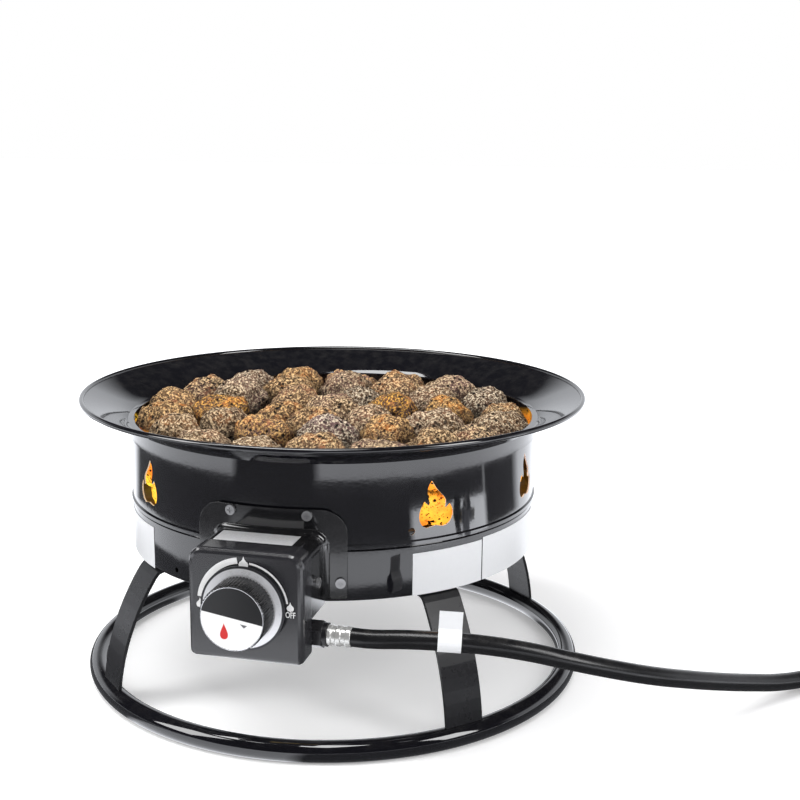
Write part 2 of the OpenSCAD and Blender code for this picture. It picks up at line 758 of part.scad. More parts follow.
// Centre of the coil's tube after a number of turns: in along the floor, then out on top
function coil_point(turn) =
    let(half = coil_turns / 2,
        r = coil_r - turn_step * (half - abs(turn - half)),
        climb = min(1, max(0, (turn - half) * 2 + 0.5)),
        a = coil_in_angle - 360 * turn)
    [coil_centre[0] + r * cos(a), coil_centre[1] + r * sin(a), coil_low + layer_step * climb];
coil_rings = 24;
function heading(a) = [sin(a), -cos(a), 0];
coil_entry = coil_point(0) - hose_d * heading(coil_in_angle);
coil_exit = coil_point(coil_turns) + hose_d * heading(coil_out_angle);
coil_path = concat([coil_entry + 0.05 * heading(coil_in_angle)],
    [for (i = [0:floor(coil_turns * coil_rings)]) coil_point(i / coil_rings)],
    [coil_point(coil_turns), coil_exit]);

// Free stretch, chosen by hand: level out of its fitting, then down to the ground
hose_route = [[126, -219, 114], [156, -215, 114], [188, -207, 111], [222, -194, 103.5],
    [256, -177, 92], [288, -156, 79.5], [318, -132, 67], [348, -100, 53], [378, -64, 38.5],
    [406, -30, 26], [433, 1, 16], [460, 32, 10]];
lead_path = concat([lead_start, lead_start + [hose_d, 0, 0]], hose_route,
    [coil_entry - hose_d * heading(coil_in_angle), coil_entry]);

function path_way(path, i) = unit(path[min(i + 1, len(path) - 1)] - path[max(i - 1, 0)]);
function tube_ring(centre, way, r, sides) =
    let(across = unit(cross(way, [0, 0, 1])), over = cross(across, way))
    [for (k = [0:sides - 1]) let(a = 360 * k / sides + 90)
        centre + r * (cos(a) * across + sin(a) * over)];
module tube(path, r, sides) {
    last = len(path) - 1;
    points = concat([path[0], path[last]], [for (i = [0:last])
        for (p = tube_ring(path[i], path_way(path, i), r, sides)) p]);
    function at(i, k) = 2 + i * sides + (k % sides);
    skin = [for (i = [0:last - 1]) for (k = [0:sides - 1])
        for (f = [[at(i, k), at(i + 1, k), at(i + 1, k + 1)],
            [at(i, k), at(i + 1, k + 1), at(i, k + 1)]]) f];
    ends = concat([for (k = [0:sides - 1]) [0, at(0, k), at(0, k + 1)]],
        [for (k = [0:sides - 1]) [1, at(last, k + 1), at(last, k)]]);
    polyhedron(points, concat(skin, ends));
}

module hose_lead() {
    color("#1b1b1d") tube(lead_path, hose_r, 10);
}
module hose_coil() {
    color("#1b1b1d") tube(coil_path, hose_r, 6);
}

// Lengths, and the least gap between two turns of the coil
function path_length(path) = norm([for (i = [1:len(path) - 1]) sqrt(norm(path[i] - path[i - 1]))]) ^ 2;
turn_gap = min([for (i = [0:len(coil_path) - 1 - coil_rings / 2])
    for (j = [i + coil_rings / 2:len(coil_path) - 1]) norm(coil_path[i] - coil_path[j])]) - hose_d;
echo(lead_length = path_length(lead_path), coil_length = path_length(coil_path));
echo(coil_gap = turn_gap, coil_entry = coil_entry, coil_exit = coil_exit);

// ---------------------------------------------------------------- regulator

// Everything on the tank end lies along -Y from the coil's exit
module tank_end(along) {
    translate([coil_exit[0], coil_exit[1] - along, coil_exit[2]]) children();
}
inlet_boss = 20;
body_at = ferrule_len + inlet_boss + regulator_d / 2 - 4;
outlet_at = body_at + regulator_d / 2 + 8;
regulator_low = 6;
regulator_high = coil_low + layer_step + 13;

module ferrule_far() {
    color("silver") tank_end(ferrule_len) rotate([-90, 0, 0]) ferrule();
}
module regulator_body() {
    color("#77787b") difference() {
        union() {
            tank_end(body_at) translate([0, 0, regulator_low - coil_exit[2]])
                cylinder(d = regulator_d, h = regulator_high - regulator_low);
            tank_end(ferrule_len + inlet_boss) rotate([-90, 0, 0]) cylinder(r = 9.5, h = inlet_boss - seat);
            tank_end(outlet_at) rotate([-90, 0, 0]) cylinder(r = 11, h = 20);
        }
        tank_end(ferrule_len + 8) rotate([-90, 0, 0]) cylinder(r = 5, h = 10);
    }
}
module regulator_bonnet() {
    r = regulator_d / 2;
    h = 14;
    profile = [[2, 0], [r + 2, 0], [r + 2, 3.5], [r - 2, 4.5], [r - 5, 10], [r - 9, 12.5],
        [8, h], [2, h]];
    color("#5d5e61") tank_end(body_at)
        translate([0, 0, regulator_high + seat - coil_exit[2]]) rotate_extrude() polygon(profile);
}

nipple_shank_r = 8;
nipple_collar_r = 11;
nut_back = outlet_at + 3;
nut_wall = 10;
nut_front = nut_back + 34;
nipple_tip = nut_front + 8;
tip_r = nipple_d / 2;
land_r = tip_r + 0.7;
land_z0 = nut_front - outlet_at - 10;
land_z1 = land_z0 + 5;
module tank_nipple() {
    color("#b8953f") tank_end(outlet_at + seat) rotate([90, 0, 0]) rotate_extrude() polygon([
        [1.5, 0], [nipple_shank_r, 0], [nipple_shank_r, nut_wall + 4],
        [nipple_collar_r, nut_wall + 4], [nipple_collar_r, nut_wall + 7],
        [nipple_shank_r, nut_wall + 8], [nipple_shank_r, land_z0], [land_r, land_z0],
        [land_r, land_z1], [tip_r, land_z1], [tip_r, nipple_tip - outlet_at - 1],
        [tip_r - 1, nipple_tip - outlet_at], [1.5, nipple_tip - outlet_at]]);
}
module nipple_seal() {
    color("#202020") tank_end(outlet_at + land_z0 + 2 * seat) rotate([90, 0, 0]) rotate_extrude()
        translate([land_r + 0.1, 0]) square([1.4, 3]);
}
module coupling_nut() {
    r = tank_nut_d / 2;
    color("#1f1f22") tank_end(nut_front) rotate([-90, 0, 0]) difference() {
        union() {
            cylinder(r = r - 1.5, h = nut_front - nut_back);
            for (i = [0:tank_nut_ribs - 1]) rotate([0, 0, 360 * i / tank_nut_ribs])
                translate([r - 4, -2.5, 0]) cube([3.9, 5, nut_front - nut_back]);
        }
        translate([0, 0, -1]) cylinder(r = 16.7, h = nut_front - nut_back - nut_wall + 1);
        cylinder(r = nipple_shank_r + running, h = nut_front);
    }
}

// ---------------------------------------------------------------- lava rock

// Each rock is a lump round its centre, held back by the planes half way to its neighbours,
// by the drum's wall and by what lies below, so that the lumps bear on each other.
upper_z = tray_floor + rock_lift;
ring_gap = (rim_inner - 28) / 3;
function on_ring(r, n, phase, z, seed) =
    [for (i = [0:n - 1])
        let(j = rands(-1, 1, 3, seed + 10 * i),
            a = phase + 360 * i / n + 4 * j[0] * 54 / max(r, 54),
            rr = r + 4 * j[1])
        [rr * cos(a), rr * sin(a), z + 3 * j[2]]];
lower_centres = on_ring((burner_r + burner_tube_r + tray_r) / 2, rocks_lower, 8,
    tray_floor + 21, rock_seed);
upper_centres = concat(
    on_ring(3 * ring_gap, rocks_outer, 0, upper_z, rock_seed + 301),
    on_ring(2 * ring_gap, round(rocks_outer * 2 / 3), 12, upper_z + 2, rock_seed + 602),
    on_ring(ring_gap, round(rocks_outer / 3), 25, upper_z + 3, rock_seed + 903),
    [[0, 0, upper_z + 4]]);

function plane_limit(way, normal, distance) = way * normal > 0.05 ? distance / (way * normal) : 1000;
function wall_limit(centre, way, r) =
    let(a = way[0] * way[0] + way[1] * way[1],
        b = centre[0] * way[0] + centre[1] * way[1],
        c = centre[0] * centre[0] + centre[1] * centre[1] - r * r)
    a < 0.001 ? 1000 : (-b + sqrt(b * b - a * c)) / a;
function lump(way, seed) =
    let(j = rands(0, 360, 4, seed), s = rands(0.88, 1.14, 3, seed + 5))
    (rock_w / 2) * norm([way[0] * s[0], way[1] * s[1], way[2] * s[2] * 0.86])
        * (1 + 0.07 * sin(150 * way[0] + j[0]) + 0.07 * sin(170 * way[1] + j[1])
            + 0.06 * sin(200 * way[2] + j[2]));
function reach(centre, way, near, seed, wall_r, low, inner_r) = min(concat(
    [lump(way, seed), wall_limit(centre, way, wall_r), plane_limit(way, [0, 0, -1], centre[2] - low)],
    inner_r > 0 ? [plane_limit(way, -unit([centre[0], centre[1], 0]),
        norm([centre[0], centre[1]]) - inner_r)] : [],
    [for (n = near) plane_limit(way, n[0], n[1])]));
function near_planes(centre, others) =
    [for (o = others) let(d = norm(o - centre))
        if (d > 1 && d < neighbour_reach) [(o - centre) / d, (d - rock_gap) / 2]];

module rock(centre, others, seed, wall_r, low, inner_r) {
    near = near_planes(centre, others);
    points = concat(
        [for (s = [1, -1]) let(way = [0, 0, s])
            centre + way * reach(centre, way, near, seed, wall_r, low, inner_r)],
        [for (b = [1:rock_bands - 1]) for (k = [0:rock_rings - 1])
            let(e = 90 - 180 * b / rock_bands, a = 360 * (k + b / 2) / rock_rings,
                way = [cos(e) * cos(a), cos(e) * sin(a), sin(e)])
            centre + way * reach(centre, way, near, seed, wall_r, low, inner_r)]);
    function at(b, k) = 2 + (b - 1) * rock_rings + (k + rock_rings) % rock_rings;
    faces = concat(
        [for (k = [0:rock_rings - 1]) [0, at(1, k + 1), at(1, k)]],
        [for (b = [1:rock_bands - 2]) for (k = [0:rock_rings - 1])
            for (f = [[at(b, k), at(b, k + 1), at(b + 1, k)],
                [at(b, k + 1), at(b + 1, k + 1), at(b + 1, k)]]) f],
        [for (k = [0:rock_rings - 1]) [1, at(rock_bands - 1, k), at(rock_bands - 1, k + 1)]]);
    polyhedron(points, faces);
}

all_centres = concat(lower_centres, upper_centres);
module lava_rocks_lower() {
    color("#8a5a34") for (i = [0:len(lower_centres) - 1])
        rock(lower_centres[i], all_centres, rock_seed + 40 + i, tray_r - sheet - slip,
            tray_floor + rock_gap, burner_r + burner_tube_r + 1);
}
module lava_rocks_upper() {
    color("#9c6a3c") for (i = [0:len(upper_centres) - 1])
        rock(upper_centres[i], all_centres, rock_seed + 90 + i, rim_inner - slip,
            hub_top + rock_gap, 0);
}

// ---------------------------------------------------------------- assembly

base_ring();
leg(leg_angles[0]);  // leg_front_left
leg(leg_angles[1]);  // leg_front_right
leg(leg_angles[2]);  // leg_rear_left
leg(leg_angles[3]);  // leg_rear_right
leg_bolts();
bottom_pan();
shell();
rim();
burner_pan();
burner();
burner_locknut();
mixer_tube();
jet();
valve_body();
outlet_nut();
valve_cradle();
cradle_screws();
valve_screws();
valve_stem();
stem_spring();
thrust_washer();
control_bracket();
bracket_screws();
control_cover();
knob_skirt();
knob();
knob_cap();
inlet_elbow();
flare_nut();
ferrule_near();
hose_lead();
hose_coil();
ferrule_far();
regulator_body();
regulator_bonnet();
tank_nipple();
nipple_seal();
coupling_nut();
lava_rocks_lower();
lava_rocks_upper();
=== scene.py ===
import json
import math

import bmesh
import bpy
from mathutils import Matrix, Vector, noise

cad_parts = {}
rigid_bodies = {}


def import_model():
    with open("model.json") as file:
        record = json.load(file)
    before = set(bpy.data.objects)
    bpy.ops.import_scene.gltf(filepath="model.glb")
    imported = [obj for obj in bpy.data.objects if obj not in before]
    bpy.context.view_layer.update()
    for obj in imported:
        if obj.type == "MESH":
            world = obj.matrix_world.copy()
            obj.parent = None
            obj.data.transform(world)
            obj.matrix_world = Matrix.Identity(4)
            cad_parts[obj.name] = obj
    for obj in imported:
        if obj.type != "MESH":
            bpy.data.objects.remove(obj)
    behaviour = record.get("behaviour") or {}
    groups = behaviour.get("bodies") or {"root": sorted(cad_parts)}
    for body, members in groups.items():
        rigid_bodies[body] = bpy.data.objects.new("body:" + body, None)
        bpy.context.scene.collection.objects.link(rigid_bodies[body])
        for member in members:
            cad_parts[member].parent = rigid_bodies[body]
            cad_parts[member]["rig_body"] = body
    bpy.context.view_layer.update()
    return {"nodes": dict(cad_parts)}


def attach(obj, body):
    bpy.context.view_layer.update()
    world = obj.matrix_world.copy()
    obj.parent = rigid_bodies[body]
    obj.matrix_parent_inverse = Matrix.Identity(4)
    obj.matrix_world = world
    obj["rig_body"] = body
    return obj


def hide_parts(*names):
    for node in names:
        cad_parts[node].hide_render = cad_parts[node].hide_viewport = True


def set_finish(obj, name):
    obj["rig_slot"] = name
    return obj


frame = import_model()
nodes = frame["nodes"]

# ------------------------------------------------------------------ measures, in mm

MM = 0.001
DRUM_R = 194.0
VENT_LOW = 182.0
VENT_TOP = 240.0
LIP_MID = 238.8
LIP_Z = 270.2
LIP_R = 2.58
FACE_Y = -255.0
KNOB_Z = 144.0
KNOB_FACE_Y = -285.0
KNOB_SPLIT_Z = 144.8
KNOB_SPLIT_TILT = math.radians(9.4)
SKIRT_EDGE_R = 33.4
CHANNEL_HALF = 47.5
CHANNEL_TOP = 188.5
CHANNEL_CORNER = 10.5
FLANGE_R = 197.4
FOLD_R = 4.5
LABEL_LOW = 127.8

# ------------------------------------------------------------------ camera

CAMERA_AT = Vector((0.3529, -1.1914, 0.5272))
CAMERA_LOOKS = Vector((-0.2293, 0.9506, -0.2095)).normalized()
CAMERA_ROLL = math.radians(0.47)
CAMERA_LENS = 58.8


def make_camera():
    data = bpy.data.cameras.new("photo_camera")
    data.lens = CAMERA_LENS
    data.sensor_width = 36.0
    camera = bpy.data.objects.new("photo_camera", data)
    bpy.context.collection.objects.link(camera)
    level = CAMERA_LOOKS.cross(Vector((0, 0, 1))).normalized()
    upright = level.cross(CAMERA_LOOKS)
    right = level * math.cos(CAMERA_ROLL) + upright * math.sin(CAMERA_ROLL)
    up = upright * math.cos(CAMERA_ROLL) - level * math.sin(CAMERA_ROLL)
    turn = Matrix((right, up, -CAMERA_LOOKS)).transposed().to_4x4()
    camera.matrix_world = Matrix.Translation(CAMERA_AT) @ turn
    bpy.context.scene.camera = camera


make_camera()

# ------------------------------------------------------------------ node helpers


def add(tree, kind, inputs=None, **settings):
    """A new node with its settings, and its inputs given as values or sockets."""
    node = tree.nodes.new(kind)
    for key, value in settings.items():
        setattr(node, key, value)
    for key, value in (inputs or {}).items():
        if isinstance(value, bpy.types.NodeSocket):
            tree.links.new(value, node.inputs[key])
        else:
            node.inputs[key].default_value = value
    return node


def calc(tree, operation, a, b=0.0, clamp=False):
    node = add(tree, "ShaderNodeMath", {0: a, 1: b}, operation=operation)
    node.use_clamp = clamp
    return node.outputs[0]


def vector_calc(tree, operation, a, b=(0, 0, 0)):
    node = add(tree, "ShaderNodeVectorMath", {0: a, 1: b}, operation=operation)
    return node.outputs["Value" if operation in ("DOT_PRODUCT", "LENGTH") else "Vector"]


def scaled(tree, vector, factor):
    node = add(tree, "ShaderNodeVectorMath", {0: vector, "Scale": factor}, operation="SCALE")
    return node.outputs["Vector"]


def spread(tree, value, low, high, to_low=0.0, to_high=1.0):
    """value from low to high becomes to_low to to_high, held at both ends."""
    inputs = {"Value": value, "From Min": low, "From Max": high}
    inputs.update({"To Min": to_low, "To Max": to_high})
    return add(tree, "ShaderNodeMapRange", inputs).outputs["Result"]


def mix_colour(tree, factor, a, b):
    node = add(tree, "ShaderNodeMix", data_type="RGBA")
    for index, value in ((0, factor), (6, a), (7, b)):
        if isinstance(value, bpy.types.NodeSocket):
            tree.links.new(value, node.inputs[index])
        else:
            node.inputs[index].default_value = value
    return node.outputs[2]


def noise_value(tree, vector, scale, detail=3.0, roughness=0.55):
    inputs = {"Vector": vector, "Scale": scale, "Detail": detail, "Roughness": roughness}
    return add(tree, "ShaderNodeTexNoise", inputs).outputs["Fac"]


def cell_distance(tree, vector, scale):
    return add(tree, "ShaderNodeTexVoronoi", {"Vector": vector, "Scale": scale}).outputs["Distance"]


def place(tree):
    return add(tree, "ShaderNodeTexCoord").outputs["Object"]


def xyz(tree, vector):
    return add(tree, "ShaderNodeSeparateXYZ", {0: vector}).outputs


def effect(name, inputs, outputs, build):
    """A shader node group with named sockets, built once and placed in many materials."""
    tree = bpy.data.node_groups.new(name, "ShaderNodeTree")
    kinds = {"value": "NodeSocketFloat", "colour": "NodeSocketColor", "vector": "NodeSocketVector"}
    for label, kind, start in inputs:
        socket = tree.interface.new_socket(label, in_out="INPUT", socket_type=kinds[kind])
        socket.default_value = start
    for label, kind in outputs:
        tree.interface.new_socket(label, in_out="OUTPUT", socket_type=kinds[kind])
    given = tree.nodes.new("NodeGroupInput").outputs
    result = tree.nodes.new("NodeGroupOutput").inputs
    for label, socket in build(tree, given).items():
        tree.links.new(socket, result[label])
    return tree


def use(tree, group, **values):
    """Places an effect; its inputs are named with _ for a space."""
    node = tree.nodes.new("ShaderNodeGroup")
    node.node_tree = group
    for key, value in values.items():
        socket = node.inputs[key.replace("_", " ")]
        if isinstance(value, bpy.types.NodeSocket):
            tree.links.new(value, socket)
        else:
            socket.default_value = value
    return node.outputs


def rgb(r, g, b):
    return (r, g, b, 1.0)


# ------------------------------------------------------------------ shared effects


def build_speckle(tree, given):
    where = place(tree)
    coarse = noise_value(tree, where, given["Scale"])
    fine_scale = calc(tree, "MULTIPLY", given["Scale"], 6.3)
    fine = noise_value(tree, where, fine_scale, 2.0)
    fine_share = calc(tree, "MULTIPLY", fine, 0.35)
    both = calc(tree, "ADD", calc(tree, "MULTIPLY", coarse, 0.65), fine_share)
    around = calc(tree, "SUBTRACT", both, 0.5)
    swing = calc(tree, "MULTIPLY", around, given["Amount"])
    shaded = scaled(tree, given["Colour"], calc(tree, "ADD", swing, 1.0))
    rough = calc(tree, "ADD", given["Roughness"], calc(tree, "MULTIPLY", swing, 0.25), True)
    return {"Colour": shaded, "Roughness": rough}


def build_dust(tree, given):
    up = xyz(tree, add(tree, "ShaderNodeNewGeometry").outputs["Normal"])[2]
    lies = spread(tree, up, 0.35, 0.95)
    patchy = spread(tree, noise_value(tree, place(tree), given["Scale"], 5.0, 0.65), 0.42, 0.72)
    mask = calc(tree, "MULTIPLY", calc(tree, "MULTIPLY", lies, patchy), given["Amount"], True)
    colour = mix_colour(tree, mask, given["Colour"], rgb(0.33, 0.31, 0.28))
    rough = calc(tree, "ADD", given["Roughness"], calc(tree, "MULTIPLY", mask, 0.5), True)
    return {"Colour": colour, "Roughness": rough}


def build_edge_wear(tree, given):
    soft = add(tree, "ShaderNodeBevel", {"Radius": given["Radius"]}, samples=4).outputs[0]
    flat = add(tree, "ShaderNodeNewGeometry").outputs["Normal"]
    turned = calc(tree, "SUBTRACT", 1.0, vector_calc(tree, "DOT_PRODUCT", soft, flat))
    broken = noise_value(tree, place(tree), given["Scale"], 4.0, 0.7)
    edge = spread(tree, turned, 0.02, 0.16)
    mask = calc(tree, "MULTIPLY", edge, spread(tree, broken, 0.42, 0.62))
    mask = calc(tree, "MULTIPLY", mask, given["Amount"], True)
    return {"Mask": mask, "Normal": soft}


def build_peel(tree, given):
    waves = noise_value(tree, place(tree), given["Scale"], 1.5, 0.4)
    bump = {"Height": waves, "Strength": given["Strength"], "Distance": 0.0004}
    bump["Normal"] = given["Normal"]
    return {"Normal": add(tree, "ShaderNodeBump", bump).outputs[0]}


def build_brushed(tree, given):
    stretched = vector_calc(tree, "MULTIPLY", place(tree), given["Stretch"])
    lines = noise_value(tree, stretched, 1.0, 3.0, 0.6)
    uneven = calc(tree, "MULTIPLY", lines, given["Spread"])
    rough = calc(tree, "ADD", given["Roughness"], uneven, True)
    bump = {"Height": lines, "Strength": given["Strength"], "Distance": 0.0002}
    bump["Normal"] = given["Normal"]
    return {"Roughness": rough, "Normal": add(tree, "ShaderNodeBump", bump).outputs[0]}


def build_pits(tree, given):
    """Open pores of two sizes and crumbs between them, as in clinker-like lava."""
    where = place(tree)
    bent = noise_value(tree, where, 60.0, 3.0)
    shift = add(tree, "ShaderNodeCombineXYZ", {0: bent, 1: bent, 2: bent}).outputs[0]
    moved = vector_calc(tree, "ADD", where, scaled(tree, shift, 0.006))
    big = cell_distance(tree, moved, given["Scale"])
    small = cell_distance(tree, moved, calc(tree, "MULTIPLY", given["Scale"], 2.7))
    big_hole = spread(tree, big, 0.16, 0.36)
    small_hole = spread(tree, small, 0.18, 0.42)
    open_skin = spread(tree, noise_value(tree, where, 34.0, 3.0), 0.40, 0.56)
    big_hole = calc(tree, "MAXIMUM", big_hole, calc(tree, "SUBTRACT", 1.0, open_skin))
    crumbs = noise_value(tree, where, 430.0, 5.0, 0.72)
    holes = calc(tree, "MULTIPLY", big_hole, spread(tree, small_hole, 0.0, 1.0, 0.35, 1.0))
    crumb_height = calc(tree, "MULTIPLY", crumbs, 0.4)
    height = calc(tree, "ADD", calc(tree, "MULTIPLY", holes, 0.75), crumb_height)
    return {"Height": height, "Skin": holes, "Crumbs": crumbs}


effects = {
    "speckle": effect(
        "Fine speckle",
        [("Colour", "colour", rgb(0.5, 0.5, 0.5)), ("Roughness", "value", 0.5),
         ("Scale", "value", 60.0), ("Amount", "value", 0.4)],
        [("Colour", "colour"), ("Roughness", "value")],
        build_speckle),
    "dust": effect(
        "Settled dust",
        [("Colour", "colour", rgb(0.5, 0.5, 0.5)), ("Roughness", "value", 0.5),
         ("Scale", "value", 40.0), ("Amount", "value", 0.1)],
        [("Colour", "colour"), ("Roughness", "value")],
        build_dust),
    "edge_wear": effect(
        "Edge wear",
        [("Radius", "value", 0.0006), ("Scale", "value", 300.0), ("Amount", "value", 0.3)],
        [("Mask", "value"), ("Normal", "vector")],
        build_edge_wear),
    "peel": effect(
        "Orange peel",
        [("Scale", "value", 700.0), ("Strength", "value", 0.1), ("Normal", "vector", (0, 0, 0))],
        [("Normal", "vector")],
        build_peel),
    "brushed": effect(
        "Brushed lines",
        [("Stretch", "vector", (900, 900, 30)), ("Roughness", "value", 0.3),
         ("Spread", "value", 0.2), ("Strength", "value", 0.1), ("Normal", "vector", (0, 0, 0))],
        [("Roughness", "value"), ("Normal", "vector")],
        build_brushed),
    "pits": effect(
        "Lava pores",
        [("Scale", "value", 260.0)],
        [("Height", "value"), ("Skin", "value"), ("Crumbs", "value")],
        build_pits),
}

# ------------------------------------------------------------------ materials


def new_material(name, **fixed):
    """A material with its Principled shader; fixed values stay on the shader's own sockets."""
    material = bpy.data.materials.new(name)
    material.use_nodes = True
    tree = material.node_tree
    shader = tree.nodes["Principled BSDF"]
    for key, value in fixed.items():
        shader.inputs[key.replace("_", " ")].default_value = value
    return material, tree, shader


def mottle(tree, colour, roughness, scale, amount):
    return use(tree, effects["speckle"], Colour=colour, Roughness=roughness, Scale=scale,
               Amount=amount)


def feed(tree, shader, **sockets):
    for key, socket in sockets.items():
        tree.links.new(socket, shader.inputs[key.replace("_", " ")])


BARE_STEEL = rgb(0.42, 0.41, 0.40)


def painted(name, colour, roughness, peel, wear=0.0, dust=0.04, **fixed):
    """Sprayed paint on steel: a little orange peel, dust on top and, where asked, worn edges."""
    material, tree, shader = new_material(name, **fixed)
    mottled = mottle(tree, colour, roughness, 35.0, 0.4)
    dusty = use(tree, effects["dust"], Colour=mottled["Colour"], Roughness=mottled["Roughness"],
                Scale=90.0, Amount=dust)
    colour_out = dusty["Colour"]
    around = add(tree, "ShaderNodeNewGeometry").outputs["Normal"]
    if wear > 0:
        edge = use(tree, effects["edge_wear"], Radius=0.0006, Scale=260.0, Amount=wear)
        colour_out = mix_colour(tree, edge["Mask"], colour_out, BARE_STEEL)
        feed(tree, shader, Metallic=edge["Mask"])
        around = edge["Normal"]
    skin = use(tree, effects["peel"], Scale=420.0, Strength=peel, Normal=around)
    feed(tree, shader, Base_Color=colour_out, Roughness=dusty["Roughness"], Normal=skin["Normal"])
    return material


def metal(name, colour, roughness, stretch, strength=0.12):
    """Bare metal with drawn lines, slightly uneven colour and softened edges."""
    material, tree, shader = new_material(name, Metallic=1.0)
    edge = use(tree, effects["edge_wear"], Radius=0.0004, Scale=400.0, Amount=0.0)
    lines = use(tree, effects["brushed"], Stretch=stretch, Roughness=roughness, Spread=0.12,
                Strength=strength, Normal=edge["Normal"])
    stained = mottle(tree, colour, lines["Roughness"], 120.0, 0.35)
    feed(tree, shader, Base_Color=stained["Colour"], Roughness=stained["Roughness"],
         Normal=lines["Normal"])
    return material


def plain(name, colour, roughness, grain, uneven, **fixed):
    """A smooth, slightly mottled surface: milky plating, paper or print."""
    material, tree, shader = new_material(name, **fixed)
    mottled = mottle(tree, colour, roughness, grain, uneven)
    feed(tree, shader, Base_Color=mottled["Colour"], Roughness=mottled["Roughness"])
    return material


def plastic(name, colour, roughness, grain, bump):
    """Moulded plastic or rubber with a fine grain."""
    material, tree, shader = new_material(name)
    edge = use(tree, effects["edge_wear"], Radius=0.0004, Scale=500.0, Amount=0.25)
    mottled = mottle(tree, colour, roughness, grain, 0.4)
    worn = scaled(tree, mottled["Colour"], 1.9)
    colour_out = mix_colour(tree, edge["Mask"], mottled["Colour"], worn)
    skin = use(tree, effects["peel"], Scale=grain * 14.0, Strength=bump, Normal=edge["Normal"])
    dusty = use(tree, effects["dust"], Colour=colour_out, Roughness=mottled["Roughness"],
                Scale=120.0, Amount=0.06)
    feed(tree, shader, Base_Color=dusty["Colour"], Roughness=dusty["Roughness"],
         Normal=skin["Normal"])
    return material


BLACK = rgb(0.0055, 0.0055, 0.0075)
GLOSS = {"Specular_IOR_Level": 0.75, "Coat_Weight": 0.6, "Coat_Roughness": 0.02}


def enamel_with_cut_edges():
    """The drum's enamel, whose vents show the steel of their cut edges."""
    material = painted("drum_enamel", BLACK, 0.06, 0.03, **GLOSS)
    tree = material.node_tree
    shader = tree.nodes["Principled BSDF"]
    where = vector_calc(tree, "MULTIPLY", place(tree), (1, 1, 0))
    outward = vector_calc(tree, "NORMALIZE", where)
    across = vector_calc(tree, "DOT_PRODUCT", outward,
                         add(tree, "ShaderNodeTexCoord").outputs["Normal"])
    side_on = calc(tree, "SUBTRACT", 1.0, spread(tree, calc(tree, "ABSOLUTE", across), 0.3, 0.6))
    height = xyz(tree, place(tree))[2]
    above = calc(tree, "GREATER_THAN", height, VENT_LOW * MM)
    below = calc(tree, "LESS_THAN", height, VENT_TOP * MM)
    cut = calc(tree, "MULTIPLY", side_on, calc(tree, "MULTIPLY", above, below))
    painted_colour = shader.inputs["Base Color"].links[0].from_socket
    smooth = shader.inputs["Roughness"].links[0].from_socket
    colour_out = mix_colour(tree, cut, painted_colour, rgb(0.80, 0.80, 0.82))
    rougher = calc(tree, "ADD", smooth, calc(tree, "MULTIPLY", cut, 0.4), True)
    feed(tree, shader, Base_Color=colour_out, Roughness=rougher)
    return material


def knob_face_material():
    """White face with a black upper part; the border runs across it, a little turned."""
    material, tree, shader = new_material("knob_face_print", Coat_Weight=0.5, Coat_Roughness=0.08)
    at = xyz(tree, place(tree))
    above = calc(tree, "SUBTRACT", at[2], KNOB_SPLIT_Z * MM)
    rise = calc(tree, "MULTIPLY", above, math.cos(KNOB_SPLIT_TILT))
    line = calc(tree, "ADD", calc(tree, "MULTIPLY", at[0], math.sin(KNOB_SPLIT_TILT)), rise)
    upper = spread(tree, line, -0.0001, 0.0001)
    print_colour = mix_colour(tree, upper, rgb(0.90, 0.90, 0.90), rgb(0.007, 0.007, 0.008))
    mottled = mottle(tree, print_colour, 0.28, 400.0, 0.08)
    feed(tree, shader, Base_Color=mottled["Colour"], Roughness=mottled["Roughness"])
    return material


def spun_metal():
    """Bright metal turned on a lathe: fine rings round the knob's axis, and painted shade, near
    black, on its rolled outer edge.
    """
    material, tree, shader = new_material("spun_skirt", Metallic=0.62, Anisotropic=0.6)
    at = vector_calc(tree, "SUBTRACT", place(tree), (0, 0, KNOB_Z * MM))
    flat = vector_calc(tree, "MULTIPLY", at, (1, 0, 1))
    from_axis = vector_calc(tree, "LENGTH", flat)
    along = add(tree, "ShaderNodeCombineXYZ", {0: from_axis}).outputs[0]
    rings = noise_value(tree, along, 4500.0, 3.0, 0.6)
    turned = vector_calc(tree, "CROSS_PRODUCT", vector_calc(tree, "NORMALIZE", flat), (0, 1, 0))
    bump = {"Height": rings, "Strength": 0.10, "Distance": 0.0002}
    mottled = mottle(tree, rgb(0.82, 0.82, 0.84), 0.24, 90.0, 0.30)
    # Painted shade: past the rolled edge's radius the skirt is coloured near black.
    rolled_edge_shade = spread(tree, from_axis, SKIRT_EDGE_R * MM, (SKIRT_EDGE_R + 0.4) * MM)
    shaded = mix_colour(tree, rolled_edge_shade, mottled["Colour"], rgb(0.05, 0.05, 0.055))
    rough = calc(tree, "ADD", mottled["Roughness"], calc(tree, "MULTIPLY", rings, 0.10))
    feed(tree, shader, Base_Color=shaded, Tangent=turned, Roughness=rough,
         Normal=add(tree, "ShaderNodeBump", bump).outputs[0])
    return material


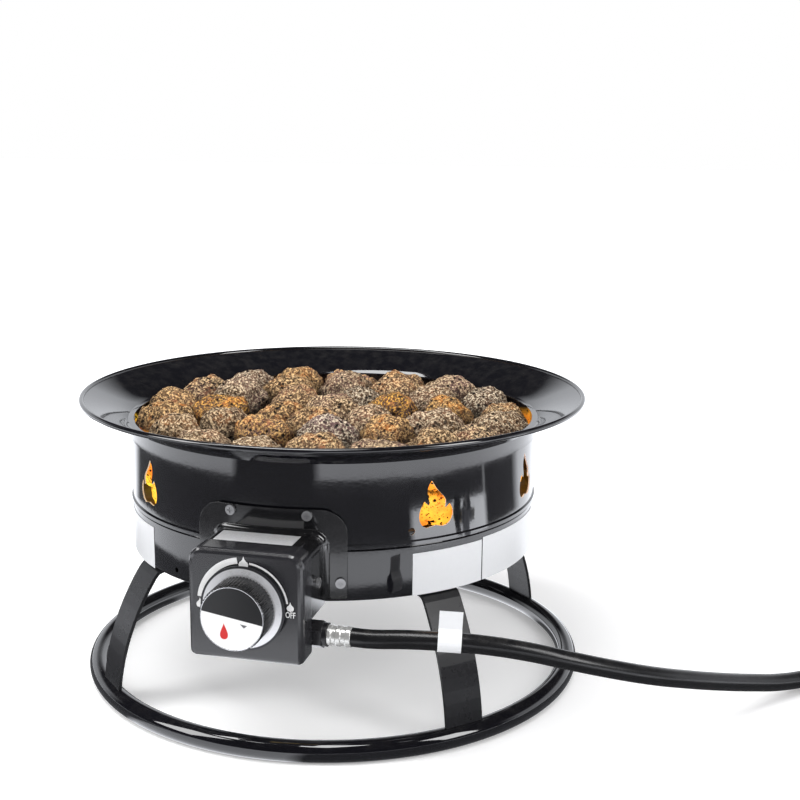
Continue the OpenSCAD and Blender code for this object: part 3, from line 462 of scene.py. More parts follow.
def rock_material():
    """Dark brown clinker with tan and orange crumbs. Painted shade makes the pores and each rock's
    foot near black, and a painted firelight glow lights the rocks beside the vents.
    """
    material, tree, shader = new_material("lava", Specular_IOR_Level=0.3, Emission_Strength=1.6)
    where = place(tree)
    pores = use(tree, effects["pits"], Scale=165.0)
    tone = xyz(tree, add(tree, "ShaderNodeAttribute", attribute_name="rock_tone").outputs["Vector"])
    patches = spread(tree, noise_value(tree, where, 26.0, 4.0), 0.38, 0.62)
    dark = mix_colour(tree, patches, rgb(0.022, 0.010, 0.006), rgb(0.105, 0.048, 0.020))
    warm = mix_colour(tree, tone[0], dark, rgb(0.210, 0.120, 0.055))
    spots = spread(tree, noise_value(tree, where, 52.0, 4.0, 0.7), 0.50, 0.62)
    orange_share = calc(tree, "MULTIPLY", spots, tone[1])
    orange = mix_colour(tree, orange_share, warm, rgb(0.62, 0.20, 0.020))
    plum_share = calc(tree, "MULTIPLY", patches, tone[2])
    plum = mix_colour(tree, plum_share, orange, rgb(0.150, 0.085, 0.090))
    crumbs = spread(tree, pores["Crumbs"], 0.49, 0.57)
    tan = mix_colour(tree, tone[1], rgb(0.88, 0.74, 0.54), rgb(1.0, 0.52, 0.10))
    lit = mix_colour(tree, calc(tree, "MULTIPLY", crumbs, 0.90), plum, tan)
    # Painted shade: the pores are coloured near black, standing in for the shade inside them.
    open_skin = mix_colour(tree, pores["Skin"], rgb(0.008, 0.005, 0.004), lit)
    # Painted shade: each rock's colour runs to near black towards its foot, standing in for the shade
    # in the gaps between rocks.
    crest = add(tree, "ShaderNodeAttribute", attribute_name="rock_crest").outputs["Fac"]
    above_gap_shade = spread(tree, crest, 0.50, 0.88, 0.10, 1.0)
    colour = mix_colour(tree, above_gap_shade, rgb(0.010, 0.006, 0.005), open_skin)
    bump = {"Height": pores["Height"], "Strength": 1.0, "Distance": 0.0026}
    # Painted light: rocks at the outer edge, below the rim's height and facing sideways, emit an
    # orange glow that stands in for firelight seen through the vents.
    out = vector_calc(tree, "LENGTH", vector_calc(tree, "MULTIPLY", where, (1, 1, 0)))
    height = xyz(tree, where)[2]
    low = spread(tree, height, 0.240, 0.232)
    up = xyz(tree, add(tree, "ShaderNodeNewGeometry").outputs["Normal"])[2]
    beside_vents = calc(tree, "MULTIPLY", spread(tree, out, 0.162, 0.176), low)
    beside_vents = calc(tree, "MULTIPLY", beside_vents, spread(tree, up, 0.98, 0.78))
    painted_fire_glow = calc(tree, "MULTIPLY", beside_vents, spread(tree, pores["Height"], 0.45, 0.75))
    glow_tint = mix_colour(tree, patches, rgb(1.0, 0.62, 0.05), rgb(1.0, 0.22, 0.02))
    feed(tree, shader, Base_Color=colour,
         Emission_Color=mix_colour(tree, painted_fire_glow, rgb(0, 0, 0), glow_tint),
         Roughness=spread(tree, pores["Crumbs"], 0.3, 0.7, 0.70, 0.98),
         Normal=add(tree, "ShaderNodeBump", bump).outputs[0])
    return material


def burner_material():
    """Steel that heat has turned straw, brown and blue."""
    material = metal("heat_tinted_steel", rgb(0.42, 0.40, 0.37), 0.34, (300, 300, 300), 0.2)
    tree = material.node_tree
    shader = tree.nodes["Principled BSDF"]
    clean = shader.inputs["Base Color"].links[0].from_socket
    zone = noise_value(tree, place(tree), 18.0, 4.0)
    straw = mix_colour(tree, spread(tree, zone, 0.40, 0.55), clean, rgb(0.42, 0.27, 0.11))
    blue = mix_colour(tree, spread(tree, zone, 0.56, 0.66), straw, rgb(0.10, 0.11, 0.20))
    feed(tree, shader, Base_Color=blue)
    return material


def foil_material():
    """Silvery foil with a fine pressed grain."""
    material, tree, shader = new_material("foil_label", Metallic=0.30)
    grain = noise_value(tree, place(tree), 700.0, 2.0, 0.6)
    mottled = mottle(tree, rgb(0.86, 0.86, 0.87), 0.34, 500.0, 0.5)
    bump = {"Height": grain, "Strength": 0.9, "Distance": 0.0008}
    feed(tree, shader, Base_Color=mottled["Colour"], Roughness=mottled["Roughness"],
         Normal=add(tree, "ShaderNodeBump", bump).outputs[0])
    return material


finishes = {
    "enamel": painted("gloss_enamel", BLACK, 0.06, 0.03, **GLOSS),
    "leg": painted("leg_enamel", rgb(0.015, 0.015, 0.017), 0.28, 0.05, wear=0.12,
                   Specular_IOR_Level=0.3),
    "drum": enamel_with_cut_edges(),
    "box": painted("box_paint", rgb(0.022, 0.022, 0.025), 0.17, 0.08, wear=0.10,
                   Specular_IOR_Level=0.75, Coat_Weight=0.4, Coat_Roughness=0.10),
    "bracket": painted("bracket_paint", rgb(0.008, 0.008, 0.009), 0.13, 0.06, wear=0.08, **GLOSS),
    "heat_paint": painted("heat_paint", rgb(0.028, 0.027, 0.026), 0.62, 0.3, dust=0.35),
    "zinc": metal("bright_zinc", rgb(0.70, 0.70, 0.71), 0.22, (500, 500, 500)),
    "screw": plain("screw_zinc", rgb(0.42, 0.42, 0.43), 0.18, 220.0, 0.3, Metallic=0.65),
    "crimp": plain("crimped_steel", rgb(0.78, 0.78, 0.76), 0.26, 220.0, 0.3, Metallic=0.60),
    "brass": metal("machined_brass", rgb(0.72, 0.53, 0.22), 0.24, (60, 900, 60)),
    "chrome": spun_metal(),
    "casting": metal("zinc_casting", rgb(0.42, 0.42, 0.44), 0.42, (700, 700, 700), 0.4),
    "burner": burner_material(),
    "knob": plastic("knob_plastic", rgb(0.008, 0.008, 0.009), 0.26, 60.0, 0.10),
    "knob_face": knob_face_material(),
    "nut": painted("blackened_nut", rgb(0.014, 0.014, 0.016), 0.22, 0.08, wear=0.35),
    "hose": plastic("hose_rubber", rgb(0.009, 0.009, 0.010), 0.24, 45.0, 0.06),
    "seal": plastic("seal_rubber", rgb(0.020, 0.020, 0.020), 0.55, 80.0, 0.2),
    "grip": plastic("grip_plastic", rgb(0.020, 0.020, 0.021), 0.45, 70.0, 0.25),
    "rock": rock_material(),
    "foil": foil_material(),
    "paper": plain("blank_label", rgb(0.76, 0.77, 0.79), 0.38, 300.0, 0.06,
                   Coat_Weight=0.35, Coat_Roughness=0.12),
    "white_print": plain("white_print", rgb(0.84, 0.84, 0.84), 0.35, 500.0, 0.10),
    "red_print": plain("red_print", rgb(0.60, 0.015, 0.015), 0.35, 500.0, 0.10),
    "dark_print": plain("dark_print", rgb(0.12, 0.12, 0.13), 0.35, 500.0, 0.10),
    # Used only by the ring that stands in for the knob's chamfer highlight.
    "chrome_highlight_trim": metal("chrome_highlight_trim", rgb(0.85, 0.85, 0.87), 0.16, (300, 300, 300), 0.04),
}

FINISH_OF_NODE = {
    "enamel": ["base_ring", "bottom_pan", "rim"],
    "leg": ["leg_front_left", "leg_front_right", "leg_rear_left", "leg_rear_right"],
    "drum": ["shell"],
    "box": ["control_cover"],
    "bracket": ["control_bracket"],
    "heat_paint": ["burner_pan"],
    "zinc": ["leg_bolts", "burner_locknut", "outlet_nut", "valve_screws", "valve_stem",
             "stem_spring", "thrust_washer"],
    "screw": ["cradle_screws", "bracket_screws"],
    "crimp": ["ferrule_near", "ferrule_far"],
    "brass": ["jet", "valve_body", "inlet_elbow", "tank_nipple"],
    "chrome": ["knob_skirt"],
    "casting": ["regulator_body", "regulator_bonnet"],
    "burner": ["burner", "mixer_tube", "valve_cradle"],
    "knob": ["knob"],
    "knob_face": ["knob_cap"],
    "nut": ["flare_nut"],
    "seal": ["nipple_seal"],
    "grip": ["coupling_nut"],
}


SHARP_FROM = math.radians(32)
JOIN_WITHIN = 2e-6


def smoothing_group(name, joined=False):
    """Rounds the shading of curved faces and keeps the corners sharp; joined for one whole sheet."""
    tree = bpy.data.node_groups.new(name, "GeometryNodeTree")
    tree.interface.new_socket("Geometry", in_out="INPUT", socket_type="NodeSocketGeometry")
    tree.interface.new_socket("Geometry", in_out="OUTPUT", socket_type="NodeSocketGeometry")
    given = tree.nodes.new("NodeGroupInput").outputs[0]
    result = tree.nodes.new("NodeGroupOutput").inputs[0]
    if joined:
        merge = {"Geometry": given, "Distance": JOIN_WITHIN}
        given = add(tree, "GeometryNodeMergeByDistance", merge).outputs[0]
    faces = add(tree, "GeometryNodeSetShadeSmooth", {"Geometry": given}, domain="FACE")
    angle = add(tree, "GeometryNodeInputMeshEdgeAngle").outputs["Unsigned Angle"]
    sharp = add(tree, "FunctionNodeCompare", {0: angle, 1: SHARP_FROM},
                data_type="FLOAT", operation="GREATER_THAN").outputs[0]
    if joined:
        edges = add(tree, "GeometryNodeSetMeshNormal", {
            "Mesh": faces.outputs[0], "Remove Custom": True, "Edge Sharpness": sharp})
    else:
        edges = add(tree, "GeometryNodeSetShadeSmooth", {
            "Geometry": faces.outputs[0], "Selection": sharp, "Shade Smooth": False}, domain="EDGE")
    tree.links.new(edges.outputs[0], result)
    return tree


rounded_shading = smoothing_group("Rounded shading")
sheet_shading = smoothing_group("Joined sheet shading", joined=True)


def dress_nodes():
    for finish, names in FINISH_OF_NODE.items():
        for name in names:
            piece = nodes[name]
            for material_slot in piece.material_slots:
                material_slot.material = finishes[finish]
            smooth = piece.modifiers.new("rounded_shading", "NODES")
            smooth.node_group = sheet_shading if name == "rim" else rounded_shading


dress_nodes()

# ------------------------------------------------------------------ making pieces


def mesh_piece(name, verts, faces, finish, slot, body="root", smooth=False):
    mesh = bpy.data.meshes.new(name)
    mesh.from_pydata([tuple(v) for v in verts], [], faces)
    mesh.validate()
    piece = bpy.data.objects.new(name, mesh)
    bpy.context.collection.objects.link(piece)
    mesh.materials.append(finishes[finish])
    if smooth:
        mesh.shade_smooth()
    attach(piece, body)
    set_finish(piece, slot)
    return piece


def face_outwards(mesh):
    shape = bmesh.new()
    shape.from_mesh(mesh)
    bmesh.ops.recalc_face_normals(shape, faces=shape.faces)
    shape.to_mesh(mesh)
    shape.free()


def plate(name, outline, place_point, thickness, finish, slot, body="root"):
    """A thin closed plate: outline points (u, v), laid by place_point(u, v, height)."""
    n = len(outline)
    verts = [place_point(u, v, h) for h in (0.0, thickness) for u, v in outline]
    faces = [tuple(range(n - 1, -1, -1)), tuple(range(n, 2 * n))]
    faces += [(i, (i + 1) % n, n + (i + 1) % n, n + i) for i in range(n)]
    piece = mesh_piece(name, verts, faces, finish, slot, body)
    face_outwards(piece.data)
    return piece


def ring_faces(rows, columns):
    """The faces of a closed ring whose points run row by row."""
    faces = []
    for i in range(rows):
        a, b = i * columns, (i + 1) % rows * columns
        faces += [(a + k, b + k, b + (k + 1) % columns, a + (k + 1) % columns)
                  for k in range(columns)]
    return faces


def strip_faces(n):
    """The faces of a thin strip: two points at each of its n steps, then as many beside them."""
    far = 2 * n
    faces = [(0, far, far + 1, 1), (far - 2, far - 1, 2 * far - 1, 2 * far - 2)]
    for a in range(0, far - 2, 2):
        b = a + 2
        faces += [(a, a + 1, b + 1, b), (far + a, far + b, far + b + 1, far + a + 1)]
        faces += [(a, b, far + b, far + a), (a + 1, far + a + 1, far + b + 1, b + 1)]
    return faces


def join(name, pieces):
    """Several plates of one finish become one piece."""
    mesh = bpy.data.meshes.new(name)
    whole = bmesh.new()
    for piece in pieces:
        whole.from_mesh(piece.data)
    whole.to_mesh(mesh)
    whole.free()
    first = pieces[0]
    mesh.materials.append(first.data.materials[0])
    made = bpy.data.objects.new(name, mesh)
    bpy.context.collection.objects.link(made)
    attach(made, first["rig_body"])
    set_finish(made, first["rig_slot"])
    for piece in pieces:
        bpy.data.objects.remove(piece)
    return made


# ------------------------------------------------------------------ hose

HOSE_R = 8.0 * MM
LEAD = [(80.05, -220.5, 112), (96.05, -220.5, 112), (126, -219, 114), (156, -215, 114),
        (188, -207, 111), (222, -194, 103.5), (256, -177, 92), (288, -156, 79.5), (318, -132, 67),
        (348, -100, 53), (378, -64, 38.5), (406, -30, 26), (433, 1, 16), (460, 32, 10)]
COIL_CENTRE = (586.0, 8.0)
COIL_R = 108.5
COIL_LOW = 8.05
LAYER_STEP = 16.85
TURN_STEP = 16.8
COIL_IN_ANGLE = 134.0
COIL_TURNS = 4 + COIL_IN_ANGLE / 360
COIL_RINGS = 24


def coil_point(turn):
    """The hose's middle after so many turns: inwards on the ground, then outwards on top."""
    half = COIL_TURNS / 2
    r = COIL_R - TURN_STEP * (half - abs(turn - half))
    climb = min(1.0, max(0.0, (turn - half) * 2 + 0.5))
    a = math.radians(COIL_IN_ANGLE - 360 * turn)
    return (COIL_CENTRE[0] + r * math.cos(a), COIL_CENTRE[1] + r * math.sin(a),
            COIL_LOW + LAYER_STEP * climb)


def coil_heading(degrees):
    """The way the hose runs where the coil is at this angle."""
    a = math.radians(degrees)
    return (math.sin(a), -math.cos(a))


def hose_points():
    step = 2 * HOSE_R / MM
    way_in = coil_heading(COIL_IN_ANGLE)
    start = coil_point(0)
    entry = (start[0] - step * way_in[0], start[1] - step * way_in[1], start[2])
    before = (entry[0] - step * way_in[0], entry[1] - step * way_in[1], start[2])
    turns = [coil_point(i / COIL_RINGS) for i in range(int(COIL_TURNS * COIL_RINGS) + 1)]
    last = coil_point(COIL_TURNS)
    leave = (last[0], last[1] - step, last[2])
    points = LEAD + [before, entry] + turns + [last, leave]
    return [Vector(p) * MM for p in points]


def make_hose():
    points = hose_points()
    curve = bpy.data.curves.new("gas_hose", "CURVE")
    curve.dimensions = "3D"
    curve.bevel_depth = HOSE_R
    curve.bevel_resolution = 7
    curve.resolution_u = 6
    curve.use_fill_caps = True
    spline = curve.splines.new("BEZIER")
    spline.bezier_points.add(len(points) - 1)
    for knot, point in zip(spline.bezier_points, points):
        knot.co = point
        knot.handle_left_type = "AUTO"
        knot.handle_right_type = "AUTO"
    piece = bpy.data.objects.new("gas_hose", curve)
    bpy.context.collection.objects.link(piece)
    curve.materials.append(finishes["hose"])
    piece.visible_glossy = False
    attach(piece, "root")
    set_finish(piece, "hose_rubber")
    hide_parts("hose_lead", "hose_coil")
    return piece, points


hose, hose_line = make_hose()

# ------------------------------------------------------------------ floor and light


# Bands of the painted reflection pattern that the floor emits to glossy rays only; no sheets stand
# there.
NEAR_SHEET = (0.575, 0.70)
FAR_SHEET = (1.03, 6.0)
RIGHT_SHEET = (0.69, 0.86)
RIGHT_SHEET_TURN = (54, 99)
RIGHT_LINE = (0.69, 1.1)
RIGHT_LINE_TURN = (97.8, 99.4)
COVER_TURN = (-34, 8)
LIGHT = {"near": 1.5, "far": 1.75, "right": 3.6, "foot": 1.3, "left": 0.9, "sides": 1.6,
         "least": 0.14}


def floor_in_reflections(tree):
    """A painted reflection: the pattern the floor emits to glossy rays, which the enamel mirrors.

    Bright bands, not real lit sheets, round a dark patch in front. Reach is the distance from
    the bowl's axis in metres; turn is in degrees from the front to the right.
    """
    at = xyz(tree, place(tree))
    reach = vector_calc(tree, "LENGTH", vector_calc(tree, "MULTIPLY", place(tree), (1, 1, 0)))
    ahead = calc(tree, "MULTIPLY", at[1], -1.0)
    turn = calc(tree, "MULTIPLY", calc(tree, "ARCTAN2", at[0], ahead), math.degrees(1))

    def times(*factors):
        product = factors[0]
        for factor in factors[1:]:
            product = calc(tree, "MULTIPLY", product, factor)
        return product

    def between(value, ends, soft):
        low, high = ends
        rise = spread(tree, value, low - soft, low + soft)
        return times(rise, spread(tree, value, high + soft, high - soft))

    before_cover = between(turn, COVER_TURN, 2)
    beside_cover = calc(tree, "SUBTRACT", 1.0, before_cover)
    near_sheet = times(between(reach, NEAR_SHEET, 0.008), LIGHT["near"], beside_cover)
    far_sheet = times(between(reach, FAR_SHEET, 0.01), LIGHT["far"], beside_cover)
    right_turn = between(turn, RIGHT_SHEET_TURN, 1.5)
    right_sheet = times(between(reach, RIGHT_SHEET, 0.008), right_turn, LIGHT["right"])
    right_line = times(between(reach, RIGHT_LINE, 0.008), between(turn, RIGHT_LINE_TURN, 0.3))
    cover_foot = times(spread(tree, reach, 0.62, 0.52), LIGHT["foot"])
    cover_left = times(spread(tree, turn, -10.5, -15), LIGHT["left"])
    cover_part = calc(tree, "MAXIMUM", cover_foot, cover_left)
    cover_part = times(cover_part, before_cover, spread(tree, reach, 0.90, 0.80))
    sides = calc(tree, "ADD", spread(tree, turn, 124, 132), spread(tree, turn, -112, -122), True)
    light = near_sheet
    for part in (far_sheet, right_sheet, right_line, cover_part, times(sides, LIGHT["sides"])):
        light = calc(tree, "MAXIMUM", light, part)
    return calc(tree, "ADD", light, LIGHT["least"])


FLOOR_HALF = 14.0
SHADOW_AT = (0.12, -0.05, 0)


def make_floor():
    """A pale floor: for the camera it glows, least under the bowl (painted shade on top of the lamps'
    shadow) and paper white away from it; glossy rays see a painted reflection pattern.
    """
    mesh = bpy.data.meshes.new("floor")
    corners = [(FLOOR_HALF * x, FLOOR_HALF * y, 0) for x, y in ((-1, -1), (1, -1), (1, 1), (-1, 1))]
    mesh.from_pydata(corners, [], [(0, 1, 2, 3)])
    floor = bpy.data.objects.new("floor", mesh)
    bpy.context.collection.objects.link(floor)
    material, tree, shader = new_material("floor_paint", Specular_IOR_Level=0.1,
                                          Emission_Color=rgb(1, 1, 1))
    pale = mottle(tree, rgb(0.93, 0.93, 0.93), 0.8, 8.0, 0.02)
    rays = add(tree, "ShaderNodeLightPath").outputs
    reach = vector_calc(tree, "LENGTH", vector_calc(tree, "SUBTRACT", place(tree), SHADOW_AT))
    # Painted shade: the camera-only glow is weakest near the bowl, so the floor's darkening there is
    # partly painted and not only the lamps' shadow.
    own_light = spread(tree, reach, 0.30, 0.9, 0.26, 0.80)
    feed(tree, shader, Base_Color=pale["Colour"], Roughness=pale["Roughness"],
         Emission_Strength=calc(tree, "MULTIPLY", rays["Is Camera Ray"], own_light))
    # Painted reflection: glossy rays meet this emitted pattern instead of the lit floor.
    mirrored = add(tree, "ShaderNodeEmission", {"Color": rgb(0.93, 0.95, 1.0),
                                                "Strength": floor_in_reflections(tree)})
    both = add(tree, "ShaderNodeMixShader", {0: rays["Is Glossy Ray"], 1: shader.outputs[0],
                                             2: mirrored.outputs[0]})
    tree.links.new(both.outputs[0], tree.nodes["Material Output"].inputs["Surface"])
    mesh.materials.append(material)


def soft_box(name, at, target, size, watts):
    data = bpy.data.lights.new(name, "AREA")
    data.shape = "RECTANGLE"
    data.size, data.size_y = size
    data.energy = watts
    lamp = bpy.data.objects.new(name, data)
    bpy.context.collection.objects.link(lamp)
    lamp.location = at
    lamp.rotation_euler = (Vector(target) - Vector(at)).to_track_quat("-Z", "Y").to_euler()


def make_light():
    """Three soft boxes in a studio whose look depends on the ray that meets it.

    The camera sees white, the enamel mirrors a dark room with a low pale wall behind the bowl,
    and all else is lit by an even grey.
    """
    soft_box("left_softbox", (-1.7, -1.1, 1.5), (0, 0, 0.15), (0.9, 1.5), 24)
    soft_box("right_softbox", (2.0, -0.7, 1.3), (0, 0, 0.15), (0.7, 1.4), 20)
    soft_box("top_softbox", (-0.3, -0.55, 2.2), (0, 0, 0.1), (1.7, 0.8), 30)
    world = bpy.data.worlds.new("studio")
    bpy.context.scene.world = world
    world.use_nodes = True
    tree = world.node_tree
    back = tree.nodes["Background"]
    rays = add(tree, "ShaderNodeLightPath").outputs
    way = xyz(tree, add(tree, "ShaderNodeTexCoord").outputs["Generated"])
    low_wall = spread(tree, way[2], 0.42, 0.30)
    pale_wall = calc(tree, "MULTIPLY", spread(tree, way[1], 0.05, 0.30), low_wall)
    mirrored = mix_colour(tree, pale_wall, rgb(0.020, 0.020, 0.022), rgb(0.80, 0.82, 0.86))
    seen = mix_colour(tree, rays["Is Glossy Ray"], rgb(0.58, 0.58, 0.59), mirrored)
    colour = mix_colour(tree, rays["Is Camera Ray"], seen, rgb(1, 1, 1))
    tree.links.new(colour, back.inputs["Color"])


make_floor()
make_light()
bpy.context.scene.view_settings.view_transform = "Standard"

# ------------------------------------------------------------------ labels and prints


def on_pan(angle, z, height):
    """A point on the pan's wall, at an angle from the front in degrees."""
    a = math.radians(angle)
    r = DRUM_R + 0.1 + height
    return Vector((r * math.sin(a), -r * math.cos(a), z)) * MM


def curved_label(name, from_angle, to_angle, low, high):
    """A blank label bent round the pan's wall."""
    steps = max(6, int(abs(to_angle - from_angle) / 2.5))
    angles = [from_angle + (to_angle - from_angle) * i / steps for i in range(steps + 1)]
    verts = []
    for height in (0.0, 0.25):
        for a in angles:
            verts += [on_pan(a, low, height), on_pan(a, high, height)]
    mesh_piece(name, verts, strip_faces(len(angles)), "paper", "knob_face")


curved_label("label_right", 36.5, 58.4, LABEL_LOW, 165.5)
curved_label("label_far_right", 58.8, 92, LABEL_LOW, 167.2)
curved_label("label_left", -78, -40.5, LABEL_LOW, 166.5)


def on_face(front):
    """Lays a plate on a face that looks towards the front, x to the right and z up."""
    return lambda u, v, h: Vector((u, front - h, v)) * MM


def ring_part(inner_r, outer_r, from_deg, to_deg):
    """Outline of a part of a ring round the knob's axis, angles from +X."""
    steps = 28
    angles = [math.radians(from_deg + (to_deg - from_deg) * i / steps) for i in range(steps + 1)]
    outer = [(outer_r * math.cos(a), KNOB_Z + outer_r * math.sin(a)) for a in angles]
    inner = [(inner_r * math.cos(a), KNOB_Z + inner_r * math.sin(a)) for a in reversed(angles)]
    return outer + inner


def drop(cx, cz, width, height):
    """Outline of a small flame drop, point up."""
    steps = 20
    points = []
    for i in range(steps):
        t = 2 * math.pi * i / steps
        sharp = 0.5 * (1 - math.cos(t))
        x = math.sin(t) * (sharp ** 0.9) * 0.525 * width
        points.append((cx - x, cz + height * (0.5 - sharp)))
    return points


LETTER_LIFT = 0.08


def letters(name, text, size, at, finish, slot, body, front):
    """Raised letters on a face that looks towards the front."""
    data = bpy.data.curves.new(name, "FONT")
    data.body = text
    data.size = size * MM
    data.align_x = "CENTER"
    data.align_y = "CENTER"
    data.extrude = LETTER_LIFT * MM
    data.materials.append(finishes[finish])
    piece = bpy.data.objects.new(name, data)
    bpy.context.collection.objects.link(piece)
    piece.location = Vector((at[0], front - LETTER_LIFT, at[1])) * MM
    piece.rotation_euler = (math.radians(90), 0, 0)
    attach(piece, body)
    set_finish(piece, slot)
    return piece


def flame_sign(cx, cz, width, height):
    """The dial's small flame: a pointed top over a round foot with two shoulders."""
    half = [(0.0, 0.5), (0.10, 0.26), (0.26, 0.10), (0.40, 0.04), (0.50, -0.14), (0.46, -0.32),
            (0.30, -0.46), (0.12, -0.44), (0.07, -0.50)]
    right = [(cx + width * x, cz + height * z) for x, z in half]
    left = [(cx - width * x, cz + height * z) for x, z in reversed(half[1:])]
    return right + left


def make_dial():
    face = on_face(FACE_Y)

    def mark(name, outline):
        return plate(name, outline, face, 0.15, "white_print", "box_paint")

    marks = [
        mark("band", ring_part(35.6, 40.8, 99, 173)),
        mark("line", ring_part(35.4, 37.0, 8, 83)),
        mark("flame_high", flame_sign(-0.6, 180.4, 8.2, 10.6)),
        mark("flame_left", flame_sign(-38.4, 143.4, 6.4, 8.6)),
        mark("flame_off", flame_sign(38.4, 146.8, 6.0, 8.2)),
    ]
    join("dial_print", marks)
    off = letters("dial_off", "OFF", 6.9, (38.5, 139.6), "white_print", "box_paint", "root", FACE_Y)
    off.data.offset = 0.09 * MM
    off.scale.x = 0.70


make_dial()


# A thin chrome ring on the knob's chamfer that stands in for its highlight: a painted highlight.
HIGHLIGHT_RING = ((25.7, 0.7), (25.7, -0.05), (26.3, -0.05), (26.95, 0.7))


def make_knob_print():
    """The drop, the pointer, and a chrome ring round the knob's face that stands in for the highlight
    on its chamfer: a painted highlight.
    """
    face = on_face(KNOB_FACE_Y)
    flame = drop(-6.5, 133.5, 9.5, 13.5)
    plate("knob_flame", flame, face, 0.12, "red_print", "knob_face", "knob_turning")
    pointer = [(7.0, 140.6), (12.8, 139.7), (10.2, 137.4)]
    plate("knob_pointer", pointer, face, 0.12, "dark_print", "knob_face", "knob_turning")
    around = 72
    verts = []
    for r, back in HIGHLIGHT_RING:
        for i in range(around):
            a = 2 * math.pi * i / around
            point = Vector((r * math.cos(a), KNOB_FACE_Y + back, KNOB_Z + r * math.sin(a)))
            verts.append(point * MM)
    faces = ring_faces(len(HIGHLIGHT_RING), around)
    mesh_piece("knob_highlight_ring", verts, faces, "chrome_highlight_trim", "chrome_skirt", "knob_turning",
               smooth=True)


make_knob_print()


def on_box_top(u, v, height):
    """A point over the flat top of the bracket's channel."""
    return Vector((u, v, CHANNEL_TOP + height)) * MM


def make_foil_plate():
    left, right = -37, 31
    front, back = -230, -203.5
    outline = [(left, front), (right, front), (right, back), (left, back)]
    plate("foil_plate", outline, on_box_top, 0.25, "foil", "zinc_screws")


make_foil_plate()

# ------------------------------------------------------------------ rim's rolled lip


def make_lip():
    """An even skin over the rolled lip, so that its highlight runs on without a break."""
    around, across = 288, 20
    verts = []
    for i in range(around):
        a = 2 * math.pi * i / around
        for k in range(across):
            b = 2 * math.pi * k / across
            r = LIP_MID + LIP_R * math.cos(b)
            z = LIP_Z + LIP_R * math.sin(b)
            verts.append(Vector((r * math.cos(a), r * math.sin(a), z)) * MM)
    mesh_piece("rim_lip", verts, ring_faces(around, across), "enamel", "black_enamel", smooth=True)


make_lip()

# ------------------------------------------------------------------ bracket's fold


SIDE_STEPS = (132.5, 145, 160, 172)
TOP_STEPS = (28, 19, 9.5, 0)
FOLD_GAP = 0.04


def fold_outline():
    """The channel's outline in x and z, each point with its outward direction."""
    flat = CHANNEL_HALF - CHANNEL_CORNER
    knee = CHANNEL_TOP - CHANNEL_CORNER
    line = [(CHANNEL_HALF, z, 1.0, 0.0) for z in SIDE_STEPS]
    for a in range(0, 91, 10):
        c, n = math.cos(math.radians(a)), math.sin(math.radians(a))
        line.append((flat + CHANNEL_CORNER * c, knee + CHANNEL_CORNER * n, c, n))
    line += [(x, CHANNEL_TOP, 0.0, 1.0) for x in TOP_STEPS]
    return line + [(-x, z, -nx, nz) for x, z, nx, nz in reversed(line[:-1])]


def make_fold():
    """The rounded inner corner where the bracket's channel turns into its flange."""
    arc = [math.radians(9 * i) for i in range(11)]
    profile = [(FOLD_R * (1 - math.cos(t)) + FOLD_GAP, FOLD_R * (1 - math.sin(t)) + FOLD_GAP)
               for t in arc]
    profile.append((-0.3, -0.3))
    n = len(profile)
    verts = []
    for x, z, nx, nz in fold_outline():
        for out, ahead in profile:
            px = x + out * nx
            verts.append(Vector((px, -math.sqrt(FLANGE_R ** 2 - px * px) - ahead, z + out * nz)) * MM)
    rings = len(verts) // n
    faces = [tuple(range(n)), tuple(range((rings - 1) * n + n - 1, (rings - 1) * n - 1, -1))]
    for i in range(rings - 1):
        a = i * n
        faces += [(a + k, a + n + k, a + n + (k + 1) % n, a + (k + 1) % n) for k in range(n)]
    piece = mesh_piece("bracket_fold", verts, faces, "bracket", "box_paint", smooth=True)
    face_outwards(piece.data)


make_fold()

# ------------------------------------------------------------------ hose tag


TAG_AT = Vector((160.1, -214.2, 113.75))
TAG_RUN = Vector((169.7, -212.1, 113.2)) - Vector((150.6, -216.0, 114.2))
TAG_HALF = 9.6
TAG_PAPER = 0.18
TAG_LEAF = [(0.32, 26), (0.34, 18), (0.5, 11.2)]


def make_tag():
    """A blank paper flag, folded round the hose near its fitting, with its two ends up."""
    along = TAG_RUN.normalized()
    up = (Vector((0, 0, 1)) - along * along.z).normalized()
    across = along.cross(up)
    r = HOSE_R / MM + 0.5
    line = list(TAG_LEAF)
    for a in range(60, -241, -15):
        line.append((r * math.cos(math.radians(a)), r * math.sin(math.radians(a))))
    line += [(-a, b) for a, b in reversed(TAG_LEAF)]
    verts = []
    for side in (-1, 1):
        for k, (a, b) in enumerate(line):
            before, after = line[max(k - 1, 0)], line[min(k + 1, len(line) - 1)]
            normal = Vector((after[1] - before[1], before[0] - after[0])).normalized()
            for lift in (0.0, TAG_PAPER):
                point = TAG_AT + along * side * TAG_HALF
                point += across * (a - normal.x * lift) + up * (b - normal.y * lift)
                verts.append(point * MM)
    return mesh_piece("hose_tag", verts, strip_faces(len(line)), "paper", "knob_face")


hose_tag = make_tag()

# ------------------------------------------------------------------ lava rock


def islands(mesh):
    """The separate solids of a mesh, each as a list of its faces."""
    parent = list(range(len(mesh.vertices)))

    def root_of(i):
        while parent[i] != i:
            parent[i] = parent[parent[i]]
            i = parent[i]
        return i

    at = {}
    for v in mesh.vertices:
        key = tuple(round(c * 1e6) for c in v.co)
        if key in at:
            parent[root_of(v.index)] = root_of(at[key])
        else:
            at[key] = v.index
    for e in mesh.edges:
        parent[root_of(e.vertices[0])] = root_of(e.vertices[1])
    groups = {}
    for f in mesh.polygons:
        groups.setdefault(root_of(f.vertices[0]), []).append(f)
    return [groups[k] for k in sorted(groups)]


BROAD_LIFT = 5.4
RIDGE_LIFT = 2.4
KNOBBLY_LIFT = 2.0
PORE_DEPTH = 2.2
PORE_REACH = 0.36
SINK = 2.2


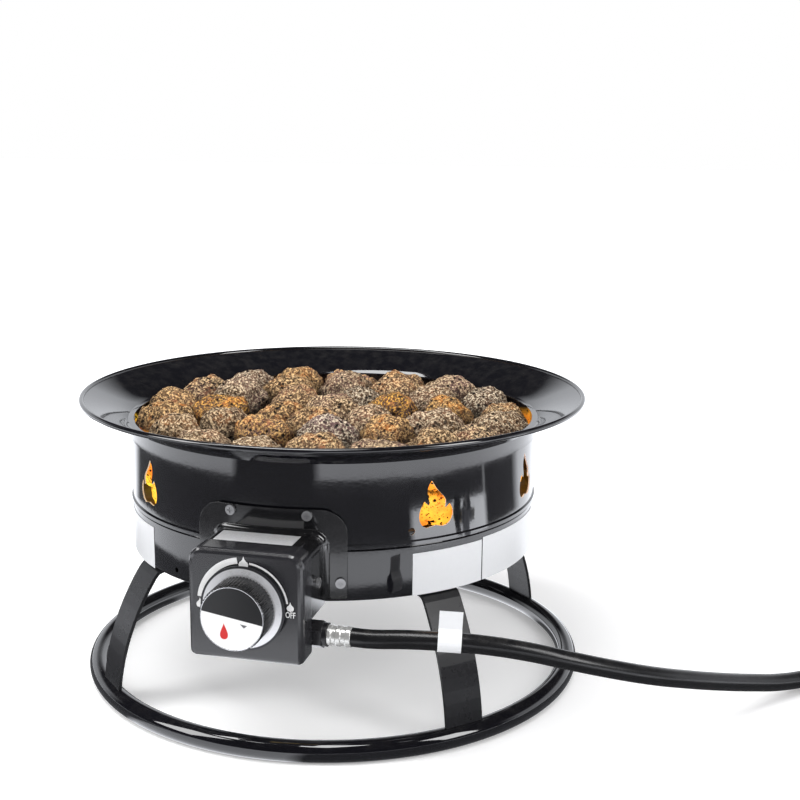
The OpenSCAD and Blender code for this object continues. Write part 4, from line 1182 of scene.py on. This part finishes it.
def rough_rock(mesh, faces, cuts, seed, bed_r, top_z):
    """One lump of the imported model, made finer and pitted, kept inside the bowl."""
    stone = bmesh.new()
    made = {}
    for f in faces:
        corner = []
        for i in f.vertices:
            key = tuple(round(c * 1e6) for c in mesh.vertices[i].co)
            if key not in made:
                made[key] = stone.verts.new(mesh.vertices[i].co)
            corner.append(made[key])
        if len(set(corner)) == len(corner):
            try:
                stone.faces.new(corner)
            except ValueError:
                pass
    bmesh.ops.recalc_face_normals(stone, faces=stone.faces)
    for cut in range(cuts):
        bmesh.ops.subdivide_edges(stone, edges=stone.edges, cuts=1, use_grid_fill=True)
        if cut < cuts - 1:
            bmesh.ops.smooth_vert(stone, verts=stone.verts, factor=0.5, use_axis_x=True,
                                  use_axis_y=True, use_axis_z=True)
    stone.normal_update()
    shift = Vector((seed * 1.37, seed * 2.11, seed * 0.73))
    for v in stone.verts:
        p = v.co
        broad = noise.noise(p * 25 + shift)
        ridge = 1.0 - 2.0 * abs(noise.noise(p * 48 + shift * 1.7))
        knobbly = noise.fractal(p * 110 + shift, 0.8, 2.2, 3)
        near = noise.voronoi(p * 170 + shift)[0]
        pore = max(0.0, PORE_REACH - near[0]) / PORE_REACH
        lift = broad * BROAD_LIFT + ridge * RIDGE_LIFT + knobbly * KNOBBLY_LIFT
        lift -= pore * PORE_DEPTH + SINK
        v.co = p + v.normal * lift * MM
        v.co.z = min(v.co.z, top_z)
        out = math.hypot(v.co.x, v.co.y)
        if out > bed_r:
            v.co.x *= bed_r / out
            v.co.y *= bed_r / out
    return stone


def make_rocks(name, node, cuts, bed_r, top_z):
    """One layer of rocks; each has its own tone, and every point knows its height in its rock, which
    the lava material turns into painted shade towards the rock's foot.
    """
    mesh = bpy.data.meshes.new(name)
    whole = bmesh.new()
    whole.verts.layers.float_vector.new("rock_tone")
    whole.verts.layers.float.new("rock_crest")
    source = nodes[node].data
    for number, faces in enumerate(islands(source)):
        stone = rough_rock(source, faces, cuts, number + 1, bed_r, top_z)
        stone.verts.ensure_lookup_table()
        first = stone.verts[0].co
        tone = Vector((
            0.5 + 0.9 * noise.noise(first * 31 + Vector((5.1, 0, 0))),
            0.5 + 1.1 * noise.noise(first * 37 + Vector((0, 9.7, 0))),
            0.5 + 1.2 * noise.noise(first * 29 + Vector((0, 0, 3.3)))))
        tones = stone.verts.layers.float_vector.new("rock_tone")
        crests = stone.verts.layers.float.new("rock_crest")
        heights = [v.co.z for v in stone.verts]
        foot, top = min(heights), max(heights)
        for v in stone.verts:
            v[tones] = tone
            v[crests] = (v.co.z - foot) / (top - foot)
        scratch = bpy.data.meshes.new("scratch")
        stone.to_mesh(scratch)
        stone.free()
        whole.from_mesh(scratch)
        bpy.data.meshes.remove(scratch)
    whole.to_mesh(mesh)
    whole.free()
    mesh.shade_smooth()
    mesh.materials.append(finishes["rock"])
    piece = bpy.data.objects.new(name, mesh)
    bpy.context.collection.objects.link(piece)
    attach(piece, "root")
    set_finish(piece, "lava_rock")
    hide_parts(node)


make_rocks("rocks_top", "lava_rocks_upper", 3, 0.1910, 0.2725)
make_rocks("rocks_below", "lava_rocks_lower", 2, 0.1905, 0.2725)
